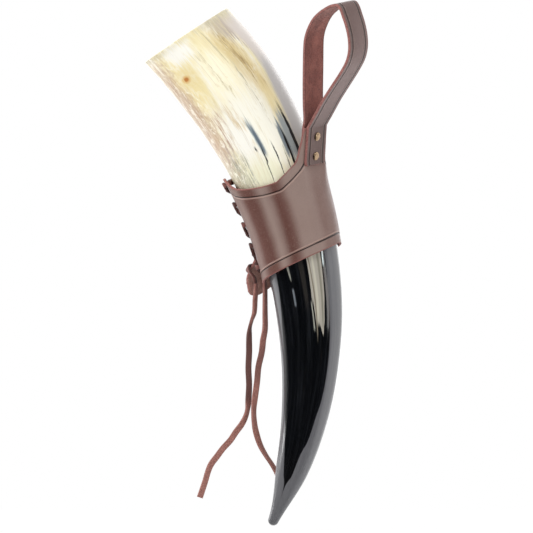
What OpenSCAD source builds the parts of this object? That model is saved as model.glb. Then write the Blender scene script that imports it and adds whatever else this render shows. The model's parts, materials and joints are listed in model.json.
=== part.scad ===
// Drinking horn in a laced leather belt holder.
// A hollow cow horn, bent to one arc, hangs in a leather sleeve that is laced together
// along its back edge. The sleeve runs up into a tab, which two double-cap rivets clamp
// between the legs of a strap, and the strap makes a loop for a belt.
// Millimetres. +Z is up, +X is to the right of the mouth, and the front faces -Y.
// The origin is the inside top of the strap's loop, where a belt bears.

/* [Horn] */
// Outer width of the mouth, front to back
mouth_d = 73.5; // [70:0.5:77]
// Length of the horn along its centre line
horn_len = 396; // [386:1:406]
// Radius of the horn's bend, at its centre line
bend_r = 332; // [325:1:345]
// Angle of the centre line at the mouth, from straight down
mouth_heading = 44; // [42:0.5:46]
// Angle between the rim's cut and a square cut
rim_tilt = 10.5; // [4:0.5:13]
// Length over which the rings turn from the rim's cut to square
rim_blend = 70; // [60:1:90]
// Wall at the mouth
mouth_wall = 3; // [2.5:0.25:4]
// Wall beside the bottom of the hollow
deep_wall = 6; // [5:0.5:7]
// Depth of the hollow along the centre line
hollow_len = 285; // [250:1:300]
// Rounding of the rim's two edges
rim_round = 0.6; // [0.3:0.1:0.9]
// Radius of the tip
tip_r = 4; // [3.2:0.1:4.8]

/* [Leather] */
// Thickness of the leather of the sleeve and the strap
leather_t = 2; // [1.8:0.1:2.2]
// Width of the strap
strap_w = 21.5; // [19:0.5:24]
// Height of the strap's loop above the upper rivet
loop_h = 92; // [80:1:110]
// How far the loop stands out from the tab
loop_reach = 64; // [58:1:70]
// Strap beyond the lower rivet, on the outside
strap_end = 7; // [6:0.5:8]
// Strap beyond the lower rivet, on the inside
strap_end_in = 4.6; // [4:0.1:5]
// Strap that stays flat past the tab's top edge
strap_flat = 0.5; // [0.3:0.1:2]

/* [Sleeve] */
// Centre line from the mouth to the lowest place of the sleeve's top edge
sleeve_top = 131; // [129:0.5:133]
// Height of the sleeve on the outside of the bend, below that place
sleeve_h = 54.5; // [50:0.5:60]
// How much further down the sleeve reaches at its laced edges
sleeve_drop = 21; // [16:0.5:24]
// Height of the tab above the lowest place of the top edge
tab_rise = 28.5; // [28:0.5:31]
// Room between the horn and the leather
sleeve_gap = 0.5; // [0.4:0.1:0.8]
// How far the laced edges stand off the horn
edge_stand = 3; // [2.8:0.1:3.6]
// How far the lower corner of the back panel curls away
curl = 15; // [8:0.5:16]
// How much further down that corner reaches
curl_drop = 9; // [5:1:12]
// Radius of the sleeve's four corners
corner_r = 6; // [4:0.5:8]

/* [Rivets] */
// Width of a rivet's cap
cap_d = 6.5; // [6:0.25:7.5]
// Height of the cap
cap_h = 1.2; // [1:0.1:1.5]
// Width of the cap at the back
back_d = 6; // [5:0.25:7]
// Thickness of the cap at the back
back_t = 0.8; // [0.6:0.1:1]
// Width of the rivet's post
post_d = 2.8; // [2.4:0.1:3.2]
// Width of the post's end inside the cap
pin_d = 1.8; // [1.4:0.1:2]
// Depth of the post's end in the cap
pin_h = 0.7; // [0.5:0.05:0.8]
// Distance between the two rivets
rivet_pitch = 15; // [13:0.5:16]

/* [Lace] */
// Width of the lace, a flat thong
lace_w = 4.6; // [4:0.1:5]
// Thickness of the lace
lace_t = 2; // [1.8:0.1:2]
// Width of the lace where a hole squeezes it
lace_squeezed_w = 3; // [2.8:0.1:3.1]
// Width of a lace hole
lace_hole_d = 5.4; // [5.2:0.1:5.6]
// Middle of a lace hole from the sleeve's edge
lace_margin = 5.5; // [5:0.1:6]
// Distance between the lace holes of one edge
lace_pitch = 18.6; // [17:0.2:19]
// Centre line from the mouth to the first pair of lace holes
lace_start = 117; // [116:0.5:118]

/* [Hidden] */

// Room between two layers of leather, and round the lace and the rivets
touch_gap = 0.1;
// Overrun of a cut
over = 1;

// Radius of the horn from the mouth to the tip, as shares of the mouth's
width_shares = [1, 1.013, 0.965, 0.896, 0.816, 0.751, 0.687, 0.587, 0.474, 0.33];
horn_sides = 44;
outer_rings = 32;
inner_rings = 20;
tip_rings = 3;

// Azimuth of the strap round the horn, from the front to the right
strap_az = 49;
// Angle of the leather's own straight axis from straight down
sheet_heading = 12;
// Lean of the tab out from that axis, and its lean below the rivets
tab_lean = 20.6;
foot_lean = 3;
// Room between the horn and the strap at the lower rivet
tab_stand = 2.4;
// Centre line from the mouth to the station that carries the tab's frame
tab_station = 123.3;
// Height of the lower rivet above that station
rivet_low_h = 6.1;
// Straight part of the tab below the lower rivet, and the length of the bend below it
tab_straight = 2.5;
tab_bend = 3;

// Flat part of the tab on each side of the strap
tab_border = 1.4;
// Angles round the horn from the strap's middle: where the tab's lift ends, front lacing
// edge, and back lacing edge at the top and at the bottom
lift_angle = 58;
front_angle = 145;
back_angle_top = 157;
back_angle_low = 202;
// Where the edges begin to stand off, and over what angle
stand_from = 70;
stand_over = 60;
// Where the back panel's lower corner begins to curl
curl_from = 150;
// Centre line from the mouth to the curl's start and over what length it grows
curl_start = sleeve_top + 0.82 * sleeve_h;
curl_len = 0.5 * sleeve_h;
// Centre line from the mouth to where the tab is flat, and where its lift begins
lift_full = sleeve_top - 0.1 * tab_rise;
lift_start = sleeve_top + 0.7 * tab_rise;

// Top edge: share of the way from the tab to the laced edge, and height as a share of the
// tab's rise
top_edge_shares = [[0, 1], [0.005, 0.97], [0.0145, 0.856], [0.0215, 0.729], [0.0417, 0.553],
                   [0.05, 0.42], [0.067, 0.3], [0.086, 0.236], [0.17, 0.12], [0.28, 0],
                   [0.375, 0.01], [0.445, 0.03], [0.517, 0.067], [0.596, 0.113],
                   [0.683, 0.18], [0.762, 0.264], [0.841, 0.412], [0.897, 0.57],
                   [1, 0.764]];
// Angle at which the bottom edge is highest, its widest swing and its bend
bottom_middle = 25;
bottom_swing = 170;
bottom_power = 1.4;

// Side view of the strap's loop from the inner leg round to the outer leg, as shares of
// the loop's reach and height, from the tab's middle at the upper rivet
loop_shares = [[0.053, 0.146], [0.098, 0.282], [0.186, 0.499], [0.277, 0.716],
               [0.334, 0.803], [0.416, 0.872], [0.509, 0.925], [0.611, 0.958],
               [0.712, 0.979], [0.814, 0.991], [0.9, 0.984], [0.935, 0.946],
               [0.95, 0.888], [0.967, 0.802], [0.967, 0.705], [0.936, 0.608],
               [0.86, 0.521], [0.722, 0.434], [0.555, 0.347], [0.378, 0.254],
               [0.19, 0.14]];

lace_rows = 5;
// Room between the lace and the horn where it crosses the gap
lace_float = 0.4;
// Room between the lace and the leather that it crosses
lace_room = 0.45;
// Angle past a laced edge at which the lace starts to leave the leather
edge_room = 3;
// Turn of the lace's flat where its ends hang from the lacing
out_turn = 75;

// Smooth curves through tables

function mix(a, b, f) = a + (b - a) * f;
function clip(x) = min(max(x, 0), 1);
function smooth(x) = clip(x) * clip(x) * (3 - 2 * clip(x));
function dot(a, b) = a * b;
function unit(v) = v / norm(v);
function spline(p0, p1, p2, p3, f) =
    p1 + f / 2 * (p2 - p0 + f * (2 * p0 - 5 * p1 + 4 * p2 - p3
                                + f * (3 * (p1 - p2) + p3 - p0)));
// Value of a curve through a list, at a place counted in list steps
function curve_at(list, x) =
    let (last = len(list) - 1, i = min(floor(x), last - 1))
    spline(list[max(i - 1, 0)], list[i], list[i + 1], list[min(i + 2, last)], x - i);
// Such a curve with a number of steps between each two points
function curve(list, steps) =
    [for (k = [0 : (len(list) - 1) * steps]) curve_at(list, k / steps)];

// The horn's centre line and directions at a station s along it from the mouth

front = [0, -1, 0];
function heading(s) = mouth_heading - s / bend_r * 180 / PI;
function along(s) = [sin(heading(s)), 0, -cos(heading(s))];
function outward(s) = [cos(heading(s)), 0, sin(heading(s))];
function centre(s) = bend_r * (outward(s) - outward(0));
// Direction away from the centre line, and direction round it, at an azimuth
function away(az, s) = cos(az) * front + sin(az) * outward(s);
function round_it(az, s) = cos(az) * outward(s) - sin(az) * front;

radius_table = concat(width_shares, [2 * tip_r / mouth_d]);
tip_start = horn_len - tip_r;
function horn_r(s) =
    s < tip_start
    ? mouth_d / 2 * curve_at(radius_table, s / tip_start * (len(radius_table) - 1))
    : tip_r * sqrt(max(0, 1 - pow((s - tip_start) / tip_r, 2)));
function wall(s) = mix(mouth_wall, deep_wall, s / hollow_len);
function hollow_r(s) = (horn_r(s) - wall(s)) * sqrt(1 - pow(s / hollow_len, 5));
function cut_tilt(s) = rim_tilt * max(0, 1 - s / rim_blend);

function horn_ring(s, r) =
    [for (k = [0 : horn_sides - 1])
        let (az = k * 360 / horn_sides)
        centre(s) + r * away(az, s) + r * sin(az) * tan(cut_tilt(s)) * along(s)];

// Rings of the horn from the bottom of the hollow, up over the rim and down to the tip
inner_profile = [for (k = [inner_rings - 1 : -1 : 1])
    let (s = hollow_len * (1 - pow(1 - k / inner_rings, 1.6))) [s, hollow_r(s)]];
rim_profile = [[rim_round, mouth_d / 2 - mouth_wall], [0, mouth_d / 2 - mouth_wall + rim_round],
               [0, mouth_d / 2 - rim_round], [rim_round, horn_r(rim_round)]];
outer_profile = [for (k = [1 : outer_rings])
    let (s = tip_start * k / outer_rings) [s, horn_r(s)]];
tip_profile = [for (k = [1 : tip_rings])
    let (s = tip_start + tip_r * sin(k * 90 / (tip_rings + 1))) [s, horn_r(s)]];
horn_profile = concat(inner_profile, rim_profile, outer_profile, tip_profile);

// A closed skin over rings of n points, with a pole at each end
function skin_points(start, rings, end) = concat([start], [for (r = rings) each r], [end]);
function skin_faces(count, n) =
    let (last = count * n + 1)
    concat(
        [for (k = [0 : n - 1]) [0, 1 + (k + 1) % n, 1 + k]],
        [for (i = [0 : count - 2], k = [0 : n - 1], half = [0, 1])
            let (a = 1 + i * n, b = a + n, m = (k + 1) % n)
            half == 0 ? [a + k, a + m, b + m] : [a + k, b + m, b + k]],
        [for (k = [0 : n - 1])
            let (a = 1 + (count - 1) * n) [a + k, a + (k + 1) % n, last]]);

// The tab's frame: up the sheet's axis, away from the horn, across the strap

sheet_up = [-sin(sheet_heading), 0, cos(sheet_heading)];
sheet_out = [cos(sheet_heading), 0, sin(sheet_heading)];
tab_out = cos(strap_az) * front + sin(strap_az) * sheet_out;
tab_across = cos(strap_az) * sheet_out - sin(strap_az) * front;
tab_up = cos(tab_lean) * sheet_up + sin(tab_lean) * tab_out;
tab_normal = cos(tab_lean) * tab_out - sin(tab_lean) * sheet_up;
tab_origin = centre(tab_station);

// Distance from the tab's origin to the horn's surface beside the lower rivet
rivet_station = tab_station - rivet_low_h;
horn_reach = dot(centre(rivet_station) - tab_origin, tab_out)
    + horn_r(rivet_station) / cos(heading(rivet_station) - sheet_heading);
layer_step = leather_t + touch_gap;
tab_reach = horn_reach + tab_stand + (layer_step + leather_t / 2) / cos(tab_lean);
bend_h = rivet_low_h - tab_straight;

// Middle of the tab's leather in side view, at a height above the tab's origin
function tab_d(h) =
    tab_reach + tan(tab_lean) * (h - rivet_low_h)
    + (tan(tab_lean) - tan(foot_lean))
    * (pow(min(max(bend_h - h, 0), tab_bend), 2) / (2 * tab_bend)
       + max(0, bend_h - h - tab_bend));
// Slope of that line as an angle
function tab_slope(h) = atan((tab_d(h + over) - tab_d(h - over)) / (2 * over));
// Point of a layer of leather in side view, a number of layers out from the tab
function layer(h, n) =
    [tab_d(h) + n * layer_step * cos(tab_slope(h)), h - n * layer_step * sin(tab_slope(h))];
function tab_point(p, w) = tab_origin + p[0] * tab_out + p[1] * sheet_up + w * tab_across;

rivet_high_h = rivet_low_h + rivet_pitch * cos(tab_lean);
// Height up to which the strap's legs lie flat on the tab
flat_top_h = dot(wrap_point(0, sleeve_top - tab_rise, leather_t / 2) - tab_origin, sheet_up)
    + strap_flat;

// The strap in side view

strap_steps = 3;
flat_steps = 4;
// Middle of a leg on the inner or the outer side of the tab, between two heights
function leg_line(from, to, n) =
    [for (k = [1 : flat_steps]) layer(mix(from, to, k / flat_steps), n)];
strap_line = concat(
    [layer(rivet_low_h - strap_end_in, -1)],
    leg_line(rivet_low_h - strap_end_in, rivet_low_h, -1),
    leg_line(rivet_low_h, flat_top_h - touch_gap, -1),
    curve(concat(
        [layer(flat_top_h, -1)],
        [for (p = loop_shares) [tab_d(rivet_high_h) + p[0] * loop_reach,
                                rivet_high_h + p[1] * loop_h]],
        [layer(flat_top_h, 1)]), strap_steps),
    leg_line(flat_top_h - touch_gap, rivet_low_h, 1),
    leg_line(rivet_low_h, rivet_low_h - strap_end, 1));
function line_side(line, i, off) =
    let (d = unit(line[min(i + 1, len(line) - 1)] - line[max(i - 1, 0)]))
    line[i] + off * [-d[1], d[0]];
strap_inside = [for (i = [0 : len(strap_line) - 1]) line_side(strap_line, i, -leather_t / 2)];
strap_outside = [for (i = [len(strap_line) - 1 : -1 : 0])
    line_side(strap_line, i, leather_t / 2)];

// The highest point of the loop's inside is the origin of the whole part
loop_tops = [for (p = strap_inside) tab_point(p, 0)];
top_z = max([for (p = loop_tops) p[2]]);
loop_top = [for (p = loop_tops) if (p[2] == top_z) p][0];

// The sleeve, laid out by an angle from the strap's middle and a station

function back_angle(s) =
    mix(back_angle_top, back_angle_low, smooth((s - sleeve_top + tab_rise) / (2.7 * tab_rise)));
function stand(a, s) =
    edge_stand * smooth((abs(a) - stand_from) / stand_over)
    + curl * smooth((s - curl_start) / curl_len)
    * pow(clip((a - curl_from) / (back_angle_low - curl_from)), 2);
function wrap_point(a, s, off) =
    centre(s) + (horn_r(s) + sleeve_gap + stand(a, s) + off) * away(strap_az + a, s);
// Middle of the flat tab beside a station, and the angle of its half width there
function flat_middle(s) =
    let (h = dot(wrap_point(0, s, leather_t / 2) - tab_origin, sheet_up))
    tab_point([tab_d(h), h], 0);
tab_half = strap_w / 2 + tab_border;
function tab_angle(s) = atan(tab_half / norm(flat_middle(s) - centre(s)));
function flat_point(a, s) =
    flat_middle(s) + norm(flat_middle(s) - centre(s)) * tan(a) * tab_across;
function lift(s) = smooth((lift_start - s) / (lift_start - lift_full));
function sheet_point(a, s) =
    let (edge = tab_angle(s),
         inner = min(max(a, -edge), edge),
         fade = 1 - smooth((abs(a) - edge) / (lift_angle - edge)))
    wrap_point(a, s, leather_t / 2)
    + lift(s) * fade * (flat_point(inner, s) - wrap_point(inner, s, leather_t / 2));

function top_edge(f) = sleeve_top - tab_rise * lookup(f, top_edge_shares);
function bottom_edge(a) =
    sleeve_top + sleeve_h
    + sleeve_drop * pow(abs(a - bottom_middle) / bottom_swing, bottom_power)
    + curl_drop * smooth((a - curl_from) / (back_angle_low - curl_from));
// What a rounded corner takes off a column at a distance from the laced edge
function corner_cut(dist) =
    corner_r - sqrt(max(0, pow(corner_r, 2) - pow(max(0, corner_r - dist), 2)));

// Columns: shares of the way from the tab's edge to the laced edge, closer at both ends
column_shares = [0.005, 0.0145, 0.0215, 0.031, 0.0417, 0.05, 0.058, 0.067, 0.086, 0.12,
                 0.17, 0.225, 0.28, 0.335, 0.39, 0.445, 0.5, 0.555, 0.61, 0.665, 0.72,
                 0.775, 0.83, 0.88, 0.92, 0.95, 0.975, 0.992, 1];
tab_shares = [-1, -0.55, 0, 0.55, 1];
columns = concat([for (k = [len(column_shares) - 1 : -1 : 0]) [-1, column_shares[k]]],
                 [for (f = tab_shares) [0, f]],
                 [for (f = column_shares) [1, f]]);
// Rows: shares of the way from the top edge to the bottom edge, closer at the tab's bend
row_shares = [0, 0.06, 0.12, 0.18, 0.23, 0.262, 0.275, 0.288, 0.301, 0.314, 0.33, 0.36,
              0.42, 0.48, 0.54, 0.61, 0.69, 0.77, 0.85, 0.93, 1];

function laced_angle(c, s) = c[0] < 0 ? front_angle : back_angle(s);
function column_angle(c, s) =
    c[0] == 0 ? c[1] * tab_angle(s) : c[0] * mix(tab_angle(s), laced_angle(c, s), c[1]);
function edge_distance(c, s) =
    c[0] == 0 ? 2 * corner_r : (1 - c[1]) * laced_angle(c, s) * PI / 180 * horn_r(s);
function column_point(c, v) =
    let (high = top_edge(c[0] == 0 ? 0 : c[1]),
         low = bottom_edge(column_angle(c, sleeve_top + sleeve_h)),
         cut = corner_cut(edge_distance(c, sleeve_top)),
         s = mix(high + cut, low - cut, v))
    sheet_point(column_angle(c, s), s);
sheet_grid = [for (c = columns) [for (v = row_shares) column_point(c, v)]];

// A sheet of even thickness on a grid of points of its middle surface
function grid_normal(g, i, j) =
    unit(cross(g[min(i + 1, len(g) - 1)][j] - g[max(i - 1, 0)][j],
               g[i][min(j + 1, len(g[0]) - 1)] - g[i][max(j - 1, 0)]));
function sheet_points(g, t) =
    [for (side = [-1, 1], i = [0 : len(g) - 1], j = [0 : len(g[0]) - 1])
        g[i][j] + side * t / 2 * grid_normal(g, i, j)];
function two(a, b, c, d) = [[a, c, b], [a, d, c]];
function sheet_faces(m, n) =
    let (other = m * n)
    concat(
        [for (i = [0 : m - 2], j = [0 : n - 2])
            let (a = i * n + j) each two(a, a + 1, a + n + 1, a + n)],
        [for (i = [0 : m - 2], j = [0 : n - 2])
            let (a = other + i * n + j) each two(a, a + n, a + n + 1, a + 1)],
        [for (i = [0 : m - 2]) let (a = i * n) each two(a, a + n, other + a + n, other + a)],
        [for (i = [0 : m - 2])
            let (a = i * n + n - 1) each two(a, other + a, other + a + n, a + n)],
        [for (j = [0 : n - 2]) each two(j, other + j, other + j + 1, j + 1)],
        [for (j = [0 : n - 2])
            let (a = (m - 1) * n + j) each two(a, a + 1, other + a + 1, other + a)]);

// The leather beside the lacing gap: the middle of its thickness, and the directions down
// it, round it and out of it. Side 1 is the front panel and side -1 the back panel.

row_stations = [for (k = [0 : lace_rows - 1]) lace_start + k * lace_pitch];
gap_front = 360 - front_angle;
function stand_at(side, a, s) = side > 0 ? edge_stand : stand(a, s);
function leather(side, a, s) =
    centre(s) + (horn_r(s) + sleeve_gap + stand_at(side, a, s) + leather_t / 2)
    * away(strap_az + a, s);
function leather_down(side, a, s) = unit(leather(side, a, s + over) - leather(side, a, s - over));
function leather_round(side, a, s) = unit(leather(side, a + 1, s) - leather(side, a - 1, s));
function leather_out(side, a, s) =
    unit(cross(leather_down(side, a, s), leather_round(side, a, s)));
function edge_angle(side, s) = side > 0 ? gap_front : back_angle(s);
function hole_angle(side, s) =
    edge_angle(side, s) + side * lace_margin / (horn_r(s) + edge_stand) * 180 / PI;

// A place of the lace: its middle, the direction across its flat, and its width

// Over the leather or under it, with its two sides told apart by n = 1 and n = -1
lace_off = (leather_t + lace_t) / 2 + lace_room;
function on_leather(side, a, s, n) =
    concat(leather(side, a, s) + n * lace_off * leather_out(side, a, s),
           leather_down(side, a, s), [lace_w]);
// Over the horn, with the flat turned about the line away from the horn
function on_horn(a, s, height, turn) =
    concat(centre(s) + (horn_r(s) + height) * away(strap_az + a, s),
           cos(turn) * along(s) + sin(turn) * round_it(strap_az + a, s), [lace_w]);
// The turn through a hole, from under the leather to the top of it: half a circle
turn_steps = 6;
function hole_turn(side, s) =
    let (a = hole_angle(side, s), r = leather_round(side, a, s), d = leather_down(side, a, s))
    [for (k = [0 : turn_steps])
        let (t = -90 + 180 * k / turn_steps)
        concat(leather(side, a, s)
               + lace_off * (side * (cos(t) - 1) * r + sin(t) * leather_out(side, a, s)),
               d, [mix(lace_w, lace_squeezed_w, cos(t))])];
// A run between two holes: over the edge of one side, across the gap, and under the edge of
// the other side
cross_low = sleeve_gap + lace_float + lace_t / 2;
cross_high = cross_low + lace_t + 2 * touch_gap;
// Share of the run at which it is some way past a side's edge, from a first guess
function past_edge(side, from, to, s0, s1, past, guess) =
    (edge_angle(side, mix(s0, s1, guess)) - side * past - from) / (to - from);
function run(side, s0, s1) =
    let (from = hole_angle(side, s0), to = hole_angle(-side, s1),
         leave = [for (past = [0, edge_room])
             past_edge(side, from, to, s0, s1, past,
                       past_edge(side, from, to, s0, s1, past, 0))],
         enter = [for (past = [edge_room, 0])
             past_edge(-side, from, to, s0, s1, past,
                       past_edge(-side, from, to, s0, s1, past, 1))],
         f = (leave[1] + enter[0]) / 2, a = mix(from, to, f), s = mix(s0, s1, f))
    concat(
        [for (f = leave) on_leather(side, mix(from, to, f), mix(s0, s1, f), 1)],
        [on_horn(a, s, (side > 0 ? cross_high : cross_low) + stand(a, s) / 2, 0)],
        [for (f = enter) on_leather(-side, mix(from, to, f), mix(s0, s1, f), -1)]);
// One leg of the lace, from the middle of the bar at the top down to its way out
function side_at(side, k) = k % 2 == 0 ? side : -side;
bar_angle = (gap_front + back_angle(lace_start)) / 2;
function leg(side) =
    concat(
        [on_horn(bar_angle, lace_start, cross_low, 0)],
        [on_leather(side, edge_angle(side, lace_start), lace_start, -1)],
        hole_turn(side, lace_start),
        [for (k = [1 : lace_rows - 1])
            each concat(run(side_at(side, k - 1), row_stations[k - 1], row_stations[k]),
                        hole_turn(side_at(side, k), row_stations[k]))],
        way_out(side_at(side, lace_rows - 1)));
// Over the edge, into the gap and down
function way_out(side) =
    let (s = row_stations[lace_rows - 1], edge = edge_angle(side, s),
         high = sleeve_gap + stand_at(side, edge, s) + leather_t + lace_t / 2,
         low = side > 0 ? high - lace_t : high - 2 * lace_t)
    [on_leather(side, edge, s + lace_w / 5, 1),
     on_horn(edge - side * 2 * edge_room, s + lace_w * 0.8, mix(high, low, 0.5), side * 50),
     on_horn(edge - side * 2 * edge_room, s + lace_w * 1.7, low, side * out_turn),
     on_horn(edge - side * 2 * edge_room, s + lace_w * 2.8, low, side * out_turn)];

lace_path = concat([for (k = [len(leg(1)) - 1 : -1 : 1]) leg(1)[k]], leg(-1));

// A ring of the thong's section: a flat eight-sided outline
section_shares = [[1, 0.45], [0.8, 1], [-0.8, 1], [-1, 0.45],
                  [-1, -0.45], [-0.8, -1], [0.8, -1], [1, -0.45]];
function thong_ring(p, ahead, across, width) =
    let (w = unit(across - dot(across, ahead) * ahead), n = cross(w, ahead))
    [for (q = section_shares) p + q[0] * width / 2 * w + q[1] * lace_t / 2 * n];
function thong_rings(points, across, widths) =
    [for (i = [0 : len(points) - 1])
        let (ahead = unit(points[min(i + 1, len(points) - 1)] - points[max(i - 1, 0)]))
        thong_ring(points[i], ahead, across[i], widths[i])];
module thong(points, across, widths) {
    rings = thong_rings(points, across, widths);
    polyhedron(skin_points(points[0], rings, points[len(points) - 1]),
               skin_faces(len(rings), len(section_shares)), convexity = 10);
}

module in_frame(x, y, z, o) {
    multmatrix([[x[0], y[0], z[0], o[0]],
                [x[1], y[1], z[1], o[1]],
                [x[2], y[2], z[2], o[2]]])
        children();
}
// Moves a piece from the mouth's centre to the part's origin
module hung() { translate(-loop_top) children(); }
// Puts a piece on the middle of the tab's leather at a height, with +Z out of it
module on_tab(h) {
    in_frame(tab_across, tab_up, tab_normal, tab_point([tab_d(h), h], 0)) children();
}

module horn() {
    color([0.86, 0.82, 0.68])
    hung()
    polyhedron(
        skin_points(centre(hollow_len), [for (p = horn_profile) horn_ring(p[0], p[1])],
                    centre(horn_len)),
        skin_faces(len(horn_profile), horn_sides), convexity = 6);
}

module sleeve() {
    color([0.37, 0.24, 0.2])
    hung()
    difference() {
        polyhedron(sheet_points(sheet_grid, leather_t),
                   sheet_faces(len(columns), len(row_shares)), convexity = 8);
        for (h = [rivet_low_h, rivet_high_h])
            on_tab(h) hole(post_d + 2 * touch_gap, leather_t);
        for (side = [-1, 1], s = row_stations) lace_hole(side, s);
    }
}
module hole(d, depth) {
    cylinder(h = depth + 2 * over, d = d, center = true, $fn = 32);
}
module lace_hole(side, s) {
    a = hole_angle(side, s);
    az = strap_az + a;
    in_frame(along(s), round_it(az, s), away(az, s), leather(side, a, s))
        hole(lace_hole_d, leather_t);
}

module belt_strap() {
    color([0.36, 0.23, 0.2])
    hung()
    difference() {
        in_frame(tab_out, sheet_up, -tab_across, tab_origin)
            linear_extrude(height = strap_w, center = true)
                polygon(concat(strap_inside, strap_outside));
        for (h = [rivet_low_h, rivet_high_h])
            on_tab(h) hole(post_d + 2 * touch_gap, 3 * layer_step);
    }
}

// Half of the three layers' thickness, from the tab's middle to the strap's faces
stack = layer_step + leather_t / 2 + touch_gap / 2;

module rivet_cap(h) {
    color([0.72, 0.6, 0.4])
    hung() on_tab(h) translate([0, 0, stack])
    difference() {
        rotate_extrude($fn = 48)
            polygon(concat([[0, 0], [cap_d / 2, 0]],
                           [for (t = [0 : 10 : 90])
                               [cap_d / 2 * pow(cos(t), 0.8), cap_h * mix(0.3, 1, sin(t))]]));
        translate([0, 0, -over])
            cylinder(h = pin_h + touch_gap + over, d = pin_d + touch_gap, $fn = 32);
    }
}
module rivet_post(h) {
    color([0.66, 0.54, 0.36])
    hung() on_tab(h)
    rotate_extrude($fn = 48)
        polygon([[0, -stack - back_t], [back_d / 2 - back_t / 2, -stack - back_t],
                 [back_d / 2, -stack - back_t / 2], [back_d / 2, -stack],
                 [post_d / 2, -stack], [post_d / 2, stack - touch_gap],
                 [pin_d / 2, stack - touch_gap], [pin_d / 2, stack + pin_h],
                 [0, stack + pin_h]]);
}
module rivet_upper_cap() { rivet_cap(rivet_high_h); }
module rivet_upper_post() { rivet_post(rivet_high_h); }
module rivet_lower_cap() { rivet_cap(rivet_low_h); }
module rivet_lower_post() { rivet_post(rivet_low_h); }

lace_steps = 2;
module lace_crossings() {
    places = curve(lace_path, lace_steps);
    color([0.42, 0.25, 0.21])
    hung()
    thong([for (q = places) [q[0], q[1], q[2]]], [for (q = places) [q[3], q[4], q[5]]],
          [for (q = places) q[6]]);
}

// Free ends of the lace, from the way out of the sleeve down: [x, y, z, turn of the flat
// from facing front], chosen by hand
left_route = [[-66, 75, -212, 60], [-66.5, 75, -220, 55], [-67, 75.5, -229, 60],
              [-69, 76, -235, 75], [-70.5, 76.5, -241, 70], [-71, 76.5, -248, 35],
              [-71, 76.5, -259, 10], [-71.5, 76.5, -271, 0], [-71, 76.5, -283, 0],
              [-71.5, 76.5, -294, 15], [-72, 76, -301, 55], [-73.5, 75.5, -307, 50],
              [-76.5, 75, -313, 25], [-81, 74, -319, 10], [-85, 73.5, -325, 0],
              [-90.5, 73, -331, 0], [-95, 72.5, -337, 10], [-99.5, 72, -343, 20],
              [-102, 72, -349, 30], [-104, 72, -356, 30], [-108, 72, -368, 20]];
right_route = [[-59, 71, -212, 60], [-59, 71, -220, 55], [-59, 71, -229, 50],
               [-59, 71, -241, 40], [-60.5, 71.5, -250, 20], [-61.5, 71.5, -259, 0],
               [-64, 71.5, -270, 0], [-65, 71.5, -281, 0], [-66.5, 71.5, -292, 15],
               [-67.5, 72, -302, 50], [-67, 72.5, -312, 45], [-65.5, 73.5, -320, 25],
               [-62.5, 75, -329, 45], [-58, 77, -337, 60], [-54, 78.5, -343, 60],
               [-50, 80, -350, 50], [-47.5, 81, -357, 40], [-46, 81.5, -364, 30]];
end_steps = 1;
module free_end(start, route) {
    places = curve(concat([start], route), end_steps);
    color([0.44, 0.26, 0.22])
    thong([for (q = places) [q[0], q[1], q[2]]], [for (q = places) [cos(q[3]), sin(q[3]), 0]],
          [for (q = places) lace_w]);
}
// Where a free end takes over from the crossings
function end_start(q) = concat([q[0], q[1], q[2]] - loop_top, [out_turn]);
module lace_end_left() { free_end(end_start(lace_path[len(lace_path) - 1]), left_route); }
module lace_end_right() { free_end(end_start(lace_path[0]), right_route); }

horn();
sleeve();
belt_strap();
rivet_upper_cap();
rivet_upper_post();
rivet_lower_cap();
rivet_lower_post();
lace_crossings();
lace_end_left();
lace_end_right();
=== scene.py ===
"""Drinking horn in a laced leather belt holder: detailed meshes and finishes.

The shapes follow the same values and formulas as the CAD source, on finer grids. Lengths
in the formulas are in millimetres from the mouth's centre; place() brings them to metres
in the frame.
"""
from functools import partialmethod
import json
import math
import bpy
import numpy as np
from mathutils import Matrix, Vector


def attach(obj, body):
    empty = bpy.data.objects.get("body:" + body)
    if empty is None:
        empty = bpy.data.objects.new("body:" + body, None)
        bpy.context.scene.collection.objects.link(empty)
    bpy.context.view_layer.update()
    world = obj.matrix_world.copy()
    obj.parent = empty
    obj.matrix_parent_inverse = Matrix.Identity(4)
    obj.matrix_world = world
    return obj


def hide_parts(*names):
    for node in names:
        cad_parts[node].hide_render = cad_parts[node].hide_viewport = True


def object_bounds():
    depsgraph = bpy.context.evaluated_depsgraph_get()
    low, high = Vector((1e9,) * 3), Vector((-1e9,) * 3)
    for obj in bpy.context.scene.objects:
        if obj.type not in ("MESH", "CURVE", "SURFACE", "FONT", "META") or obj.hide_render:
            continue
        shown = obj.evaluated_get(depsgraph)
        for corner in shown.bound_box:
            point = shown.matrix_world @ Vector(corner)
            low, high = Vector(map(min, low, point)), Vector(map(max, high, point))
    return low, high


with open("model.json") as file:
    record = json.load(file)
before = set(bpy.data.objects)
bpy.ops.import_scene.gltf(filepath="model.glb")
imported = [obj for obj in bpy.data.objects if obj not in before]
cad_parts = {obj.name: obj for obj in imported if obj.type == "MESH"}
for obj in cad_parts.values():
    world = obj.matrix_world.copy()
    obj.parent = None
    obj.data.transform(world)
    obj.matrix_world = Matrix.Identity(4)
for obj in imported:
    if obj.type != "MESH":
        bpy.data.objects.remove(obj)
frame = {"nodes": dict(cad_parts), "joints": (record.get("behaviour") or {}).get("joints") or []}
cad_box = [list(corner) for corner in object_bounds()]

MM = 0.001

# Horn
MOUTH_D = 73.5
HORN_LEN = 396
BEND_R = 332
MOUTH_HEADING = 44
RIM_TILT = 10.5
RIM_BLEND = 70
MOUTH_WALL = 3
DEEP_WALL = 6
HOLLOW_LEN = 285
RIM_ROUND = 0.6
TIP_R = 4
WIDTH_SHARES = [
    1, 1.013, 0.965, 0.896, 0.816, 0.751, 0.687, 0.587, 0.474, 0.33, 2 * TIP_R / MOUTH_D]

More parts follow.
